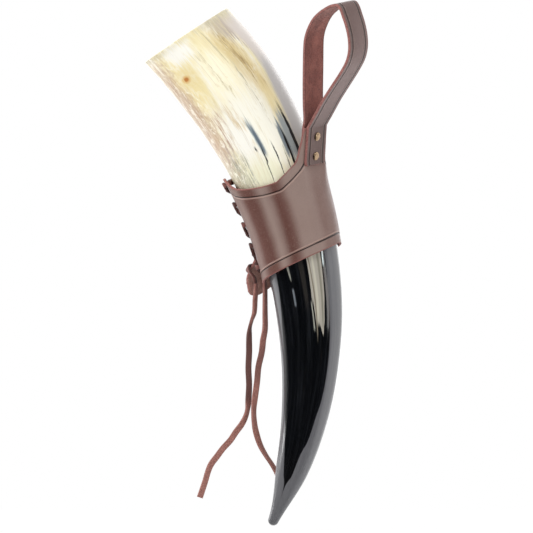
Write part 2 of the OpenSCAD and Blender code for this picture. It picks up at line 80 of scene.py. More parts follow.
# Leather
LEATHER_T = 2
STRAP_W = 21.5
LOOP_H = 92
LOOP_REACH = 64
STRAP_END = 7
STRAP_END_IN = 4.6
STRAP_FLAT = 0.5

# Sleeve
SLEEVE_TOP = 131
SLEEVE_H = 54.5
SLEEVE_DROP = 21
TAB_RISE = 28.5
SLEEVE_GAP = 0.5
EDGE_STAND = 3
CURL = 15
CURL_DROP = 9
CORNER_R = 6

# Rivets
CAP_D = 6.5
CAP_H = 1.2
RIVET_PITCH = 15
TOUCH_GAP = 0.1

# Lace
LACE_W = 4.6
LACE_T = 2
LACE_SQUEEZED_W = 3
LACE_HOLE_D = 5.4
LACE_MARGIN = 5.5
LACE_PITCH = 18.6
LACE_START = 117
LACE_ROWS = 5
LACE_FLOAT = 0.4
LACE_ROOM = 0.45
EDGE_ROOM = 3
OUT_TURN = 75
OUT_TURN_START = 50

# Strap and tab
STRAP_AZ = 49
SHEET_HEADING = 12
TAB_LEAN = 20.6
FOOT_LEAN = 3
TAB_STAND = 2.4
TAB_STATION = 123.3
RIVET_LOW_H = 6.1
TAB_STRAIGHT = 2.5
TAB_BEND = 3
TAB_BORDER = 1.4

# Sleeve's outline: angles from the strap's middle, and stations
LIFT_ANGLE = 58
FRONT_ANGLE = 145
BACK_ANGLE_TOP = 157
BACK_ANGLE_LOW = 202
BACK_TURN = 2.7 * TAB_RISE
STAND_FROM = 70
STAND_OVER = 60
CURL_FROM = 150
CURL_START = SLEEVE_TOP + 0.82 * SLEEVE_H
CURL_LEN = 0.5 * SLEEVE_H
LIFT_FULL = SLEEVE_TOP - 0.1 * TAB_RISE
LIFT_START = SLEEVE_TOP + 0.7 * TAB_RISE
TOP_EDGE_SHARES = [
    [0, 1], [0.005, 0.97], [0.0145, 0.856], [0.0215, 0.729], [0.0417, 0.553], [0.05, 0.42],
    [0.067, 0.3], [0.086, 0.236], [0.17, 0.12], [0.28, 0], [0.375, 0.01], [0.445, 0.03],
    [0.517, 0.067], [0.596, 0.113], [0.683, 0.18], [0.762, 0.264], [0.841, 0.412],
    [0.897, 0.57], [1, 0.764]]
BOTTOM_MIDDLE = 25
BOTTOM_SWING = 170
BOTTOM_POWER = 1.4
# Strap's loop: shares of its reach and height, from its inner end up and round
LOOP_SHARES = [
    [0.053, 0.146], [0.098, 0.282], [0.186, 0.499], [0.277, 0.716], [0.334, 0.803],
    [0.416, 0.872], [0.509, 0.925], [0.611, 0.958], [0.712, 0.979], [0.814, 0.991],
    [0.9, 0.984], [0.935, 0.946], [0.95, 0.888], [0.967, 0.802], [0.967, 0.705],
    [0.936, 0.608], [0.86, 0.521], [0.722, 0.434], [0.555, 0.347], [0.378, 0.254],
    [0.19, 0.14]]

# The lace's free ends, as in the CAD source: x, y, z and the flat's turn from the front
LEFT_ROUTE = [
    [-66, 75, -212, 60], [-66.5, 75, -220, 55], [-67, 75.5, -229, 60], [-69, 76, -235, 75],
    [-70.5, 76.5, -241, 70], [-71, 76.5, -248, 35], [-71, 76.5, -259, 10],
    [-71.5, 76.5, -271, 0], [-71, 76.5, -283, 0], [-71.5, 76.5, -294, 15],
    [-72, 76, -301, 55], [-73.5, 75.5, -307, 50], [-76.5, 75, -313, 25], [-81, 74, -319, 10],
    [-85, 73.5, -325, 0], [-90.5, 73, -331, 0], [-95, 72.5, -337, 10], [-99.5, 72, -343, 20],
    [-102, 72, -349, 30], [-104, 72, -356, 30], [-108, 72, -368, 20]]
RIGHT_ROUTE = [
    [-59, 71, -212, 60], [-59, 71, -220, 55], [-59, 71, -229, 50], [-59, 71, -241, 40],
    [-60.5, 71.5, -250, 20], [-61.5, 71.5, -259, 0], [-64, 71.5, -270, 0],
    [-65, 71.5, -281, 0], [-66.5, 71.5, -292, 15], [-67.5, 72, -302, 50],
    [-67, 72.5, -312, 45], [-65.5, 73.5, -320, 25], [-62.5, 75, -329, 45],
    [-58, 77, -337, 60], [-54, 78.5, -343, 60], [-50, 80, -350, 50], [-47.5, 81, -357, 40],
    [-46, 81.5, -364, 30]]

# Places and directions


def cosd(a):
    return np.cos(np.radians(a))


def sind(a):
    return np.sin(np.radians(a))


def tand(a):
    return math.tan(math.radians(a))


def vec(x, y, z):
    return np.stack(np.broadcast_arrays(x, y, z), axis=-1).astype(float)


def col(a):
    return np.asarray(a, float)[..., None]


def unit(v):
    return v / np.linalg.norm(v, axis=-1, keepdims=True)


def dot(a, b):
    return (a * b).sum(-1)


def run_length(points):
    """How far along a line each of its points is."""
    steps = np.linalg.norm(np.diff(points, axis=0), axis=1)
    return np.concatenate([[0], np.cumsum(steps)])


def mix(a, b, f):
    return a + (b - a) * f


def smooth(x):
    x = np.clip(x, 0, 1)
    return x * x * (3 - 2 * x)


def waves(table, a, s):
    """Sines by degrees to one of a, to one of s, start and share, summed to -1 to 1."""
    sines = [share * sind(a * by_a + s * by_s + start) for by_a, by_s, start, share in table]
    return sum(sines) / sum(row[-1] for row in table)


def curve(points, steps):
    """A smooth curve through points, with a number of steps between each two."""
    p = np.asarray(points, float)
    last = len(p) - 1
    x = np.arange(last * steps + 1) / steps
    i = np.minimum(x.astype(int), last - 1)
    f = (x - i)[:, None] if p.ndim > 1 else x - i
    p0, p1 = p[np.maximum(i - 1, 0)], p[i]
    p2, p3 = p[i + 1], p[np.minimum(i + 2, last)]
    return p1 + f / 2 * (p2 - p0 + f * (2 * p0 - 5 * p1 + 4 * p2 - p3
                                        + f * (3 * (p1 - p2) + p3 - p0)))


FRONT = np.array([0.0, -1.0, 0.0])


def heading(s):
    return MOUTH_HEADING - np.degrees(np.asarray(s, float) / BEND_R)


def along(s):
    return vec(sind(heading(s)), 0, -cosd(heading(s)))


def outward(s):
    return vec(cosd(heading(s)), 0, sind(heading(s)))


def centre(s):
    return BEND_R * (outward(s) - outward(0))


def away(az, s):
    return col(cosd(az)) * FRONT + col(sind(az)) * outward(s)


def round_it(az, s):
    return col(cosd(az)) * outward(s) - col(sind(az)) * FRONT


MOUTH = np.array(frame["joints"][0]["pos_m"]) / MM + BEND_R * outward(0)


def place(points):
    """Millimetres from the mouth's centre, brought to metres in the frame."""
    return (np.asarray(points, float) + MOUTH) * MM


# Horn's shape

TIP_START = HORN_LEN - TIP_R
RADIUS_STEPS = 100
RADII = curve(WIDTH_SHARES, RADIUS_STEPS) * MOUTH_D / 2


def horn_r(s):
    s = np.asarray(s, float)
    body = np.interp(s / TIP_START, np.linspace(0, 1, len(RADII)), RADII)
    tip = TIP_R * np.sqrt(np.clip(1 - ((s - TIP_START) / TIP_R) ** 2, 0, 1))
    return np.where(s < TIP_START, body, tip)


def hollow_r(s):
    wall = mix(MOUTH_WALL, DEEP_WALL, s / HOLLOW_LEN)
    return (horn_r(s) - wall) * np.sqrt(np.clip(1 - (s / HOLLOW_LEN) ** 5, 0, 1))


def cut_tilt(s):
    return RIM_TILT * np.clip(1 - s / RIM_BLEND, 0, 1)


# Tab's frame and the strap's line

SHEET_UP = vec(-sind(SHEET_HEADING), 0, cosd(SHEET_HEADING))
SHEET_OUT = vec(cosd(SHEET_HEADING), 0, sind(SHEET_HEADING))
TAB_OUT = cosd(STRAP_AZ) * FRONT + sind(STRAP_AZ) * SHEET_OUT
TAB_ACROSS = cosd(STRAP_AZ) * SHEET_OUT - sind(STRAP_AZ) * FRONT
TAB_UP = cosd(TAB_LEAN) * SHEET_UP + sind(TAB_LEAN) * TAB_OUT
TAB_NORMAL = cosd(TAB_LEAN) * TAB_OUT - sind(TAB_LEAN) * SHEET_UP
TAB_ORIGIN = centre(TAB_STATION)
RIVET_STATION = TAB_STATION - RIVET_LOW_H
HORN_REACH = (dot(centre(RIVET_STATION) - TAB_ORIGIN, TAB_OUT)
              + horn_r(RIVET_STATION) / cosd(heading(RIVET_STATION) - SHEET_HEADING))
LAYER_STEP = LEATHER_T + TOUCH_GAP
TAB_REACH = HORN_REACH + TAB_STAND + (LAYER_STEP + LEATHER_T / 2) / cosd(TAB_LEAN)
BEND_H = RIVET_LOW_H - TAB_STRAIGHT
RIVET_HIGH_H = RIVET_LOW_H + RIVET_PITCH * cosd(TAB_LEAN)
STACK = LAYER_STEP + LEATHER_T / 2 + TOUCH_GAP / 2


def tab_d(h):
    low = np.maximum(BEND_H - h, 0)
    bent = np.minimum(low, TAB_BEND) ** 2 / (2 * TAB_BEND) + np.maximum(0, low - TAB_BEND)
    return (TAB_REACH + tand(TAB_LEAN) * (h - RIVET_LOW_H)
            + (tand(TAB_LEAN) - tand(FOOT_LEAN)) * bent)


def layer(h, n):
    slope = np.arctan((tab_d(h + 1) - tab_d(h - 1)) / 2)
    off = n * LAYER_STEP
    return np.stack([tab_d(h) + off * np.cos(slope), h - off * np.sin(slope)], -1)


def tab_point(d, h, w=0):
    return TAB_ORIGIN + col(d) * TAB_OUT + col(h) * SHEET_UP + col(w) * TAB_ACROSS


# Sleeve's shape, laid out by an angle from the strap's middle and a station


def back_angle(s):
    turn = smooth((s - SLEEVE_TOP + TAB_RISE) / BACK_TURN)
    return mix(BACK_ANGLE_TOP, BACK_ANGLE_LOW, turn)


def stand(a, s):
    curled = np.clip((a - CURL_FROM) / (BACK_ANGLE_LOW - CURL_FROM), 0, 1) ** 2
    return (EDGE_STAND * smooth((np.abs(a) - STAND_FROM) / STAND_OVER)
            + CURL * smooth((s - CURL_START) / CURL_LEN) * curled)


def off_horn(a, s, height):
    return centre(s) + col(horn_r(s) + height) * away(STRAP_AZ + a, s)


def wrap_point(a, s, off):
    return off_horn(a, s, SLEEVE_GAP + stand(a, s) + off)


def flat_middle(s):
    h = dot(wrap_point(0 * s, s, LEATHER_T / 2) - TAB_ORIGIN, SHEET_UP)
    return tab_point(tab_d(h), h)


def flat_reach(s):
    return np.linalg.norm(flat_middle(s) - centre(s), axis=-1)


TAB_HALF = STRAP_W / 2 + TAB_BORDER


def tab_angle(s):
    return np.degrees(np.arctan(TAB_HALF / flat_reach(s)))


def flat_point(a, s):
    return flat_middle(s) + col(flat_reach(s) * np.tan(np.radians(a))) * TAB_ACROSS


def lift(s):
    return smooth((LIFT_START - s) / (LIFT_START - LIFT_FULL))


def sheet_point(a, s):
    edge = tab_angle(s)
    inner = np.clip(a, -edge, edge)
    fade = 1 - smooth((np.abs(a) - edge) / (LIFT_ANGLE - edge))
    off = LEATHER_T / 2
    rise = flat_point(inner, s) - wrap_point(inner, s, off)
    return wrap_point(a, s, off) + col(lift(s) * fade) * rise


EDGE_SOFT = 41
EDGE_SAMPLES = np.linspace(0, 1, 2001)
EDGE_TABLE = np.interp(EDGE_SAMPLES, *np.array(TOP_EDGE_SHARES).T)
EDGE_KERNEL = np.hanning(EDGE_SOFT + 2)[1:-1]
EDGE_TABLE = np.convolve(np.pad(EDGE_TABLE, EDGE_SOFT // 2, mode="edge"),
                         EDGE_KERNEL / EDGE_KERNEL.sum(), mode="valid")


def top_edge(f):
    return SLEEVE_TOP - TAB_RISE * np.interp(f, EDGE_SAMPLES, EDGE_TABLE)


def bottom_edge(a):
    swing = (np.abs(a - BOTTOM_MIDDLE) / BOTTOM_SWING) ** BOTTOM_POWER
    drop = smooth((a - CURL_FROM) / (BACK_ANGLE_LOW - CURL_FROM))
    return SLEEVE_TOP + SLEEVE_H + SLEEVE_DROP * swing + CURL_DROP * drop


def corner_cut(dist, radius=CORNER_R):
    inward = np.clip(radius - dist, 0, None)
    return radius - np.sqrt(np.clip(radius ** 2 - inward ** 2, 0, None))


# The leather beside the lacing gap: side 1 is the front panel and side -1 the back panel

ROW_STATIONS = [LACE_START + k * LACE_PITCH for k in range(LACE_ROWS)]
GAP_FRONT = 360 - FRONT_ANGLE
LACE_OFF = (LEATHER_T + LACE_T) / 2 + LACE_ROOM
TURN_STEPS = 6


def leather(side, a, s):
    edge = EDGE_STAND if side > 0 else stand(a, s)
    return off_horn(a, s, SLEEVE_GAP + edge + LEATHER_T / 2)


def leather_down(side, a, s):
    return unit(leather(side, a, s + 1) - leather(side, a, s - 1))


def leather_round(side, a, s):
    return unit(leather(side, a + 1, s) - leather(side, a - 1, s))


def leather_out(side, a, s):
    return unit(np.cross(leather_down(side, a, s), leather_round(side, a, s)))


def edge_angle(side, s):
    return GAP_FRONT if side > 0 else back_angle(s)


def hole_angle(side, s):
    return edge_angle(side, s) + side * math.degrees(LACE_MARGIN / (horn_r(s) + EDGE_STAND))


def on_leather(side, a, s, n):
    return np.concatenate([leather(side, a, s) + n * LACE_OFF * leather_out(side, a, s),
                           leather_down(side, a, s), [LACE_W]])


def on_horn(a, s, height, turn):
    return np.concatenate([off_horn(a, s, height),
                           cosd(turn) * along(s) + sind(turn) * round_it(STRAP_AZ + a, s),
                           [LACE_W]])


def hole_turn(side, s):
    a = hole_angle(side, s)
    places = []
    for k in range(TURN_STEPS + 1):
        t = -90 + 180 * k / TURN_STEPS
        way = (side * (cosd(t) - 1) * leather_round(side, a, s)
               + sind(t) * leather_out(side, a, s))
        width = mix(LACE_W, LACE_SQUEEZED_W, cosd(t))
        places.append(np.concatenate([leather(side, a, s) + LACE_OFF * way,
                                      leather_down(side, a, s), [width]]))
    return places


CROSS_LOW = SLEEVE_GAP + LACE_FLOAT + LACE_T / 2
CROSS_HIGH = CROSS_LOW + LACE_T + 2 * TOUCH_GAP


def run(side, s0, s1):
    start, end = hole_angle(side, s0), hole_angle(-side, s1)

    def past_edge(which, past, guess):
        edge = edge_angle(which, mix(s0, s1, guess)) - which * past
        return (edge - start) / (end - start)
    leave = [past_edge(side, past, past_edge(side, past, 0)) for past in (0, EDGE_ROOM)]
    enter = [past_edge(-side, past, past_edge(-side, past, 1)) for past in (EDGE_ROOM, 0)]
    f = (leave[1] + enter[0]) / 2
    a, s = mix(start, end, f), mix(s0, s1, f)
    height = (CROSS_HIGH if side > 0 else CROSS_LOW) + stand(a, s) / 2
    return ([on_leather(side, mix(start, end, g), mix(s0, s1, g), 1) for g in leave]
            + [on_horn(a, s, height, 0)]
            + [on_leather(-side, mix(start, end, g), mix(s0, s1, g), -1) for g in enter])


def way_out(side):
    s = ROW_STATIONS[-1]
    edge = edge_angle(side, s)
    high = SLEEVE_GAP + (EDGE_STAND if side > 0 else stand(edge, s)) + LEATHER_T + LACE_T / 2
    low = high - (1 if side > 0 else 2) * LACE_T
    a = edge - side * 2 * EDGE_ROOM
    return [on_leather(side, edge, s + LACE_W / 5, 1),
            on_horn(a, s + LACE_W * 0.8, mix(high, low, 0.5), side * OUT_TURN_START),
            on_horn(a, s + LACE_W * 1.7, low, side * OUT_TURN),
            on_horn(a, s + LACE_W * 2.8, low, side * OUT_TURN)]


def leg(side):
    bar = (GAP_FRONT + back_angle(LACE_START)) / 2
    places = [on_horn(bar, LACE_START, CROSS_LOW, 0),
              on_leather(side, edge_angle(side, LACE_START), LACE_START, -1)]
    places += hole_turn(side, LACE_START)
    for k in range(1, LACE_ROWS):
        before = side if k % 2 else -side
        places += run(before, ROW_STATIONS[k - 1], ROW_STATIONS[k])
        places += hole_turn(-before, ROW_STATIONS[k])
    return places + way_out(side if LACE_ROWS % 2 else -side)


LACE_PATH = np.array(leg(1)[:0:-1] + leg(-1))

# Meshes


def put_in_scene(name, data):
    obj = bpy.data.objects.new(name, data)
    bpy.context.scene.collection.objects.link(obj)
    return obj


def new_mesh(name, points, faces, materials, face_material=None, sharp=50):
    mesh = bpy.data.meshes.new(name)
    mesh.from_pydata(np.asarray(points).tolist(), [], faces)
    for material in materials:
        mesh.materials.append(material)
    if face_material is not None:
        mesh.polygons.foreach_set("material_index", np.asarray(face_material, np.int32))
    mesh.polygons.foreach_set("use_smooth", np.ones(len(mesh.polygons), bool))
    mesh.set_sharp_from_angle(angle=math.radians(sharp))
    return put_in_scene(name, mesh)


def keep(obj, name, values):
    """Stores a number or a vector per point under a name that materials read."""
    values = np.asarray(values, np.float32)
    kind, field = ("FLOAT", "value") if values.ndim == 1 else ("FLOAT_VECTOR", "vector")
    store = obj.data.attributes.new(name, kind, "POINT")
    store.data.foreach_set(field, values.ravel())


def dress(obj, body, slot, *nodes):
    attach(obj, body)
    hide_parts(*nodes)


def tube_faces(rings, n):
    """Quads between closed rings of n points, with a fan at each end to a pole."""
    turn = [(k, (k + 1) % n) for k in range(n)]
    last = n * (rings - 1)
    return ([[k, m, n * rings] for k, m in turn]
            + [[a + n + k, a + n + m, a + m, a + k]
               for a in range(0, last, n) for k, m in turn]
            + [[n * rings + 1, last + m, last + k] for k, m in turn])


def grid_normals(grid):
    return unit(np.cross(*np.gradient(grid, axis=(0, 1))))


# A cut edge's rings, as shares of half the thickness outward and up
EDGE_PROFILE = [(0.16, 0.86), (0.24, 0.5), (0.26, 0.0), (0.24, -0.5), (0.16, -0.86)]


def sheet_mesh(name, grid, outer, thickness, materials, layouts):
    """A sheet of leather on a grid of its middle surface, with rounded cut edges.

    outer is +1 where the grain side lies along the grid's normals and -1 where it lies
    against them. Materials are the grain, the flesh and the cut edge.
    """
    m, n = grid.shape[:2]
    normal = grid_normals(grid) * outer
    half = np.broadcast_to(np.asarray(thickness) / 2, (m, n))[..., None]
    top = (grid + half * normal).reshape(-1, 3)
    under = (grid - half * normal).reshape(-1, 3)
    index = np.arange(m * n).reshape(m, n)
    ring = np.concatenate([index[0, :], index[1:, -1], index[-1, -2::-1], index[-2:0:-1, 0]])
    flat = grid.reshape(-1, 3)
    du, dv = np.gradient(grid, axis=(0, 1))
    out = np.zeros_like(grid)
    out[0] -= unit(du[0])
    out[-1] += unit(du[-1])
    out[:, 0] -= unit(dv[:, 0])
    out[:, -1] += unit(dv[:, -1])
    out = unit(out.reshape(-1, 3)[ring])
    flat_half = half.reshape(-1, 1)[ring]
    flat_normal = normal.reshape(-1, 3)[ring]
    strips = [flat[ring] + flat_half * (push * out + up * flat_normal)
              for push, up in EDGE_PROFILE]
    points = np.vstack([top, under] + strips)
    cells = np.stack([index[:-1, :-1], index[1:, :-1], index[1:, 1:], index[:-1, 1:]], -1)
    cells = cells.reshape(-1, 4)
    turned = cells[:, [0, 3, 2, 1]]
    flip = outer > 0
    quads = [cells if flip else turned, m * n + (turned if flip else cells)]
    kinds = [0] * len(cells) + [1] * len(cells)
    first = 2 * m * n + np.arange(len(ring))
    loops = [ring, *(first + k * len(ring) for k in range(len(strips))), m * n + ring]
    for upper, lower in zip(loops, loops[1:]):
        q = np.stack([upper, lower, np.roll(lower, -1), np.roll(upper, -1)], 1)
        quads.append(q[:, ::-1] if flip else q)
        kinds += [2] * len(q)
    obj = new_mesh(name, place(points), np.vstack(quads).tolist(), materials, kinds, 60)
    for key, values in layouts.items():
        values = np.ravel(values)
        keep(obj, key, np.concatenate([values, values] + [values[ring]] * len(strips)))
    return obj


# A thong's section, as shares of half its width and thickness, from its right side over
# the grain, whose spans come first
HALF_SECTION = [
    (1, 0.5), (0.9, 0.9), (0.75, 1), (0, 1.04), (-0.75, 1), (-0.9, 0.9), (-1, 0.5)]
SECTION = HALF_SECTION + [(-a, -b) for a, b in HALF_SECTION]
GRAIN_SPANS = len(HALF_SECTION) - 1


def thong_mesh(name, points, across, widths, materials, in_frame=False):
    """A flat leather thong swept along points. Materials are the grain and the cut sides."""
    ahead = unit(np.gradient(points, axis=0))
    w = unit(across - col(dot(across, ahead)) * ahead)
    n = np.cross(w, ahead)
    rings = np.stack([points + a * col(widths) / 2 * w + b * LACE_T / 2 * n
                      for a, b in SECTION], 1)
    count, sides = rings.shape[:2]
    all_points = np.vstack([rings.reshape(-1, 3), points[:1], points[-1:]])
    spans = [0] * GRAIN_SPANS + [1] * (sides - GRAIN_SPANS)
    kinds = [1] * sides + spans * (count - 1) + [1] * sides
    placed = all_points * MM if in_frame else place(all_points)
    return new_mesh(name, placed, tube_faces(count, sides), materials, kinds, 40)


# Material building


def srgb(*colour):
    def linear(c):
        return c / 12.92 if c <= 0.04045 else ((c + 0.055) / 1.055) ** 2.4
    return (*(linear(c / 255) for c in colour), 1)


class Graph:
    """Short calls that add shader nodes and link them. A tuple stands for an sRGB colour."""

    def __init__(self, name, kind="materials"):
        self.made = getattr(bpy.data, kind).new(name)
        self.made.use_nodes = True
        self.tree = self.made.node_tree

    def put(self, socket, value):
        if isinstance(value, bpy.types.NodeSocket):
            self.tree.links.new(value, socket)
        else:
            socket.default_value = srgb(*value) if isinstance(value, tuple) else value

    def add(self, kind, inputs, output=0, **settings):
        """Adds a node, fills inputs by number or name, and gives one of its outputs."""
        node = self.tree.nodes.new("ShaderNode" + kind)
        for key, value in settings.items():
            setattr(node, key, value)
        for key, value in inputs.items():
            self.put(node.inputs[key], value)
        return node.outputs[output]

    def calc(self, operation, *values):
        return self.add("Math", dict(enumerate(values)), operation=operation)

    plus = partialmethod(calc, "ADD")
    minus = partialmethod(calc, "SUBTRACT")
    times = partialmethod(calc, "MULTIPLY")

    def distance(self, a, b):
        return self.calc("ABSOLUTE", self.minus(a, b))

    def swing(self, noise, reach):
        """A noise as a change to both sides of zero."""
        return self.times(self.minus(noise, 0.5), reach)

    def map(self, *values):
        """A value between a low and a high one, as 0 to 1 or as two more numbers say."""
        return self.add("MapRange", dict(enumerate(values)), interpolation_type="SMOOTHSTEP")

    def mix(self, share, a, b):
        return self.add("Mix", {0: share, 6: a, 7: b}, 2, data_type="RGBA")

    def tint(self, colour, paint, *mapped):
        return self.mix(self.map(*mapped), colour, paint)

    def attribute(self, name, output="Fac"):
        return self.add("Attribute", {}, output, attribute_name=name)

    def parts(self, vector):
        return self.add("SeparateXYZ", {0: vector}).node.outputs

    def noise(self, vector, scale, detail, rough, warp=0):
        return self.add("TexNoise", {"Vector": vector, "Scale": scale, "Detail": detail,
                                     "Roughness": rough, "Distortion": warp})

    def stretched(self, vector, by, *settings):
        """A noise in a space scaled along its axes."""
        space = self.add("VectorMath", {0: vector, 1: list(by)}, operation="MULTIPLY")
        return self.noise(space, *settings)

    def here(self):
        return self.add("TexCoord", {}, "Object")

    def bump(self, height, strength, depth, **under):
        return self.add("Bump", {"Strength": strength, "Distance": depth, "Height": height,
                                 **under})

    def end(self, colour, rough, normal, **constants):
        """Fills the shader's sockets and gives the material."""
        values = {"Base Color": colour, "Roughness": rough, "Normal": normal, **constants}
        for key, value in values.items():
            self.put(self.tree.nodes["Principled BSDF"].inputs[key.replace("_", " ")], value)
        return self.made


# The horn's stored grain counts its stations in steps of this many millimetres
GRAIN_STEP = 100
# Marks on the horn: first and last station, offset share from the left edge (-1) to the
# right edge (1) at each, half width as a share at each, softness, and colour
INK = (24, 25, 27)
SOFT_MARKS = [
    (0, 96, 0.3, 0.6, 0.16, 0.1, 0.22, (236, 220, 170)),
    (6, 70, 0.4, 0.58, 0.06, 0.09, 0.16, (222, 202, 150)),
    (4, 78, -0.58, -0.84, 0.24, 0.14, 0.3, (238, 222, 168)),
    (58, 124, -0.32, -0.22, 0.26, 0.2, 0.3, (248, 245, 235)),
    (44, 130, 0.1, 0.22, 0.22, 0.2, 0.25, (248, 245, 230)),
    (108, 150, -0.5, -0.4, 0.45, 0.5, 0.3, (232, 230, 200)),
    (2, 124, -0.96, -0.94, 0.1, 0.13, 0.18, (206, 184, 156)),
    (96, 150, -0.9, -0.8, 0.16, 0.12, 0.2, (206, 204, 176)),
    (1, 19, -0.4, -0.32, 0.22, 0.12, 0.2, (248, 245, 235)),
    (16, 60, -0.02, -0.05, 0.1, 0.16, 0.3, (253, 246, 218)),
    (0, 20, 0.62, 0.78, 0.16, 0.16, 0.2, (206, 194, 170)),
]
BROKEN_MARKS = [
    (10, 62, 0.46, 0.6, 0.03, 0.04, 0.08, (176, 150, 104)),
    (2, 40, 0.2, 0.32, 0.01, 0.012, 0.04, (206, 194, 156)),
    (16, 60, -0.12, -0.02, 0.008, 0.012, 0.04, (208, 196, 158)),
    (40, 90, 0.34, 0.36, 0.008, 0.01, 0.03, (196, 186, 156)),
    (2, 118, -0.97, -0.93, 0.06, 0.1, 0.12, (170, 138, 112)),
    (60, 96, -0.56, -0.74, 0.07, 0.07, 0.1, (184, 146, 116)),
    (82, 112, -0.72, -0.84, 0.1, 0.08, 0.12, (178, 156, 140)),
    (100, 140, -0.66, -0.72, 0.1, 0.12, 0.12, (150, 148, 128)),
    (60, 84, -0.28, -0.24, 0.07, 0.07, 0.08, (222, 204, 170)),
    (12, 44, 0.72, 0.86, 0.03, 0.03, 0.06, (168, 146, 130)),
    (0, 30, 0.62, 0.72, 0.06, 0.06, 0.08, (186, 172, 160)),
]
MARKS = [
    (0, 128, 1, 0.86, 0.04, 0.2, 0.1, (186, 181, 178)),
    (6, 48, 0.84, 0.94, 0.06, 0.06, 0.12, (214, 204, 196)),
    (84, 122, 0.6, 0.55, 0.03, 0.07, 0.08, (158, 164, 164)),
    (80, 110, -0.1, -0.058, 0.03, 0.026, 0.05, (150, 160, 164)),
    (86, 108, -0.09, -0.06, 0.018, 0.008, 0.03, (98, 111, 122)),
    (98, 140, -0.075, -0.15, 0.006, 0.005, 0.008, (52, 50, 48)),
    (90, 118, 0.455, 0.44, 0.022, 0.036, 0.05, (124, 134, 140)),
    (97, 136, 0.5, 0.45, 0.007, 0.022, 0.012, INK),
    (76, 122, 0.665, 0.66, 0.006, 0.03, 0.014, INK),
    (102, 136, 0.165, 0.145, 0.005, 0.009, 0.01, (46, 45, 44)),
    (100, 104, -0.215, -0.205, 0.009, 0.009, 0.012, INK),
    (110, 138, 0.36, 0.33, 0.006, 0.008, 0.012, (92, 88, 80)),
]
# A stain: its station and offset share, millimetres to one share, and its rings' size in
# millimetres, strength and colour
SPOT = (29, -0.605)
SPOT_REACH = 42
SPOT_RINGS = [(11, 0.5, (228, 208, 150)), (3.6, 0.7, (216, 168, 92)),
              (1.9, 0.85, (184, 108, 32))]
# Pale marks on the dark part; four of them are painted highlights
WEDGE = (163, 158, 147)
PALE_MARKS = [
    (176, 226, 0.295, 0.275, 0.195, 0.175, 0.012, WEDGE),
    (211, 242, 0.277, 0.305, 0.175, 0.12, 0.012, WEDGE),
    (230, 250, 0.295, 0.4, 0.125, 0, 0.012, WEDGE),
    (178, 252, 0.12, 0.22, 0.008, 0.012, 0.012, (120, 112, 98)),
    (180, 240, 0.24, 0.25, 0.01, 0.02, 0.03, (184, 180, 164)),
    (184, 244, 0.4, 0.38, 0.014, 0.012, 0.03, (132, 128, 116)),
    (224, 246, 0.07, 0.13, 0.006, 0.01, 0.02, (150, 150, 140)),
    # Painted highlights: small glints on the dark part, at its left and at its right
    (186, 207, -0.49, -0.42, 0.036, 0.004, 0.02, (140, 141, 132)),
    (213, 227, -0.41, -0.39, 0.002, 0.004, 0.035, (112, 118, 124)),
    (186, 200, 0.55, 0.52, 0.012, 0.008, 0.012, (206, 220, 220)),
    (206, 226, 0.62, 0.6, 0.012, 0.012, 0.02, (178, 186, 190)),
    (198, 242, 0.515, 0.59, 0.028, 0.032, 0.02, (50, 43, 40)),
    (172, 230, -0.12, -0.05, 0.05, 0.02, 0.06, (40, 38, 36)),
]
# Inner edges of the two grey bands of painted reflection at the sides of the dark part: share of
# the horn's length, and offset share
LEFT_REFLECTION = [
    (0, -0.79), (0.5, -0.79), (0.58, -0.83), (0.635, -0.88), (0.71, -0.9), (0.785, -0.86),
    (0.81, -0.78), (0.855, -0.66), (0.9, -0.45), (0.93, -0.2), (1, -0.1)]
RIGHT_REFLECTION = [
    (0, 0.62), (0.47, 0.61), (0.56, 0.58), (0.66, 0.61), (0.74, 0.58), (0.785, 0.47),
    (0.82, 0.41), (0.86, 0.2), (0.9, 0.1), (0.93, -0.15), (1.0, -0.2)]
DARK_FROM = 136
DARK_FULL = 170
REFLECTION_EDGE = (-0.015, 0.015)


def boundary(g, station, points):
    """A curve from the station's share of the horn to an offset share."""
    share = g.calc("DIVIDE", station, HORN_LEN)
    made = g.add("FloatCurve", {"Value": share}).node
    line = made.mapping.curves[0]
    made.mapping.clip_min_y = -1
    made.mapping.extend = "HORIZONTAL"
    line.points[0].location = points[0]
    line.points[1].location = points[-1]
    for x, y in points[1:-1]:
        line.points.new(x, y)
    made.mapping.update()
    return made.outputs[0]


def add_marks(g, colour, station, offset, where, marks):
    for first, last, q0, q1, w0, w1, soft, paint in marks:
        share = g.calc("DIVIDE", g.minus(station, first), last - first)
        middle = g.plus(g.times(share, q1 - q0), q0)
        width = g.plus(g.times(share, w1 - w0), w0)
        inside = g.map(g.minus(g.distance(offset, middle), width), 0, soft, 1, 0)
        fade = min(0.45, 0.12 + soft)
        ends = g.times(g.map(share, -fade / 2, fade), g.map(share, 1 + fade / 2, 1 - fade))
        colour = g.mix(g.times(g.times(inside, ends), where), colour, paint)
    return colour


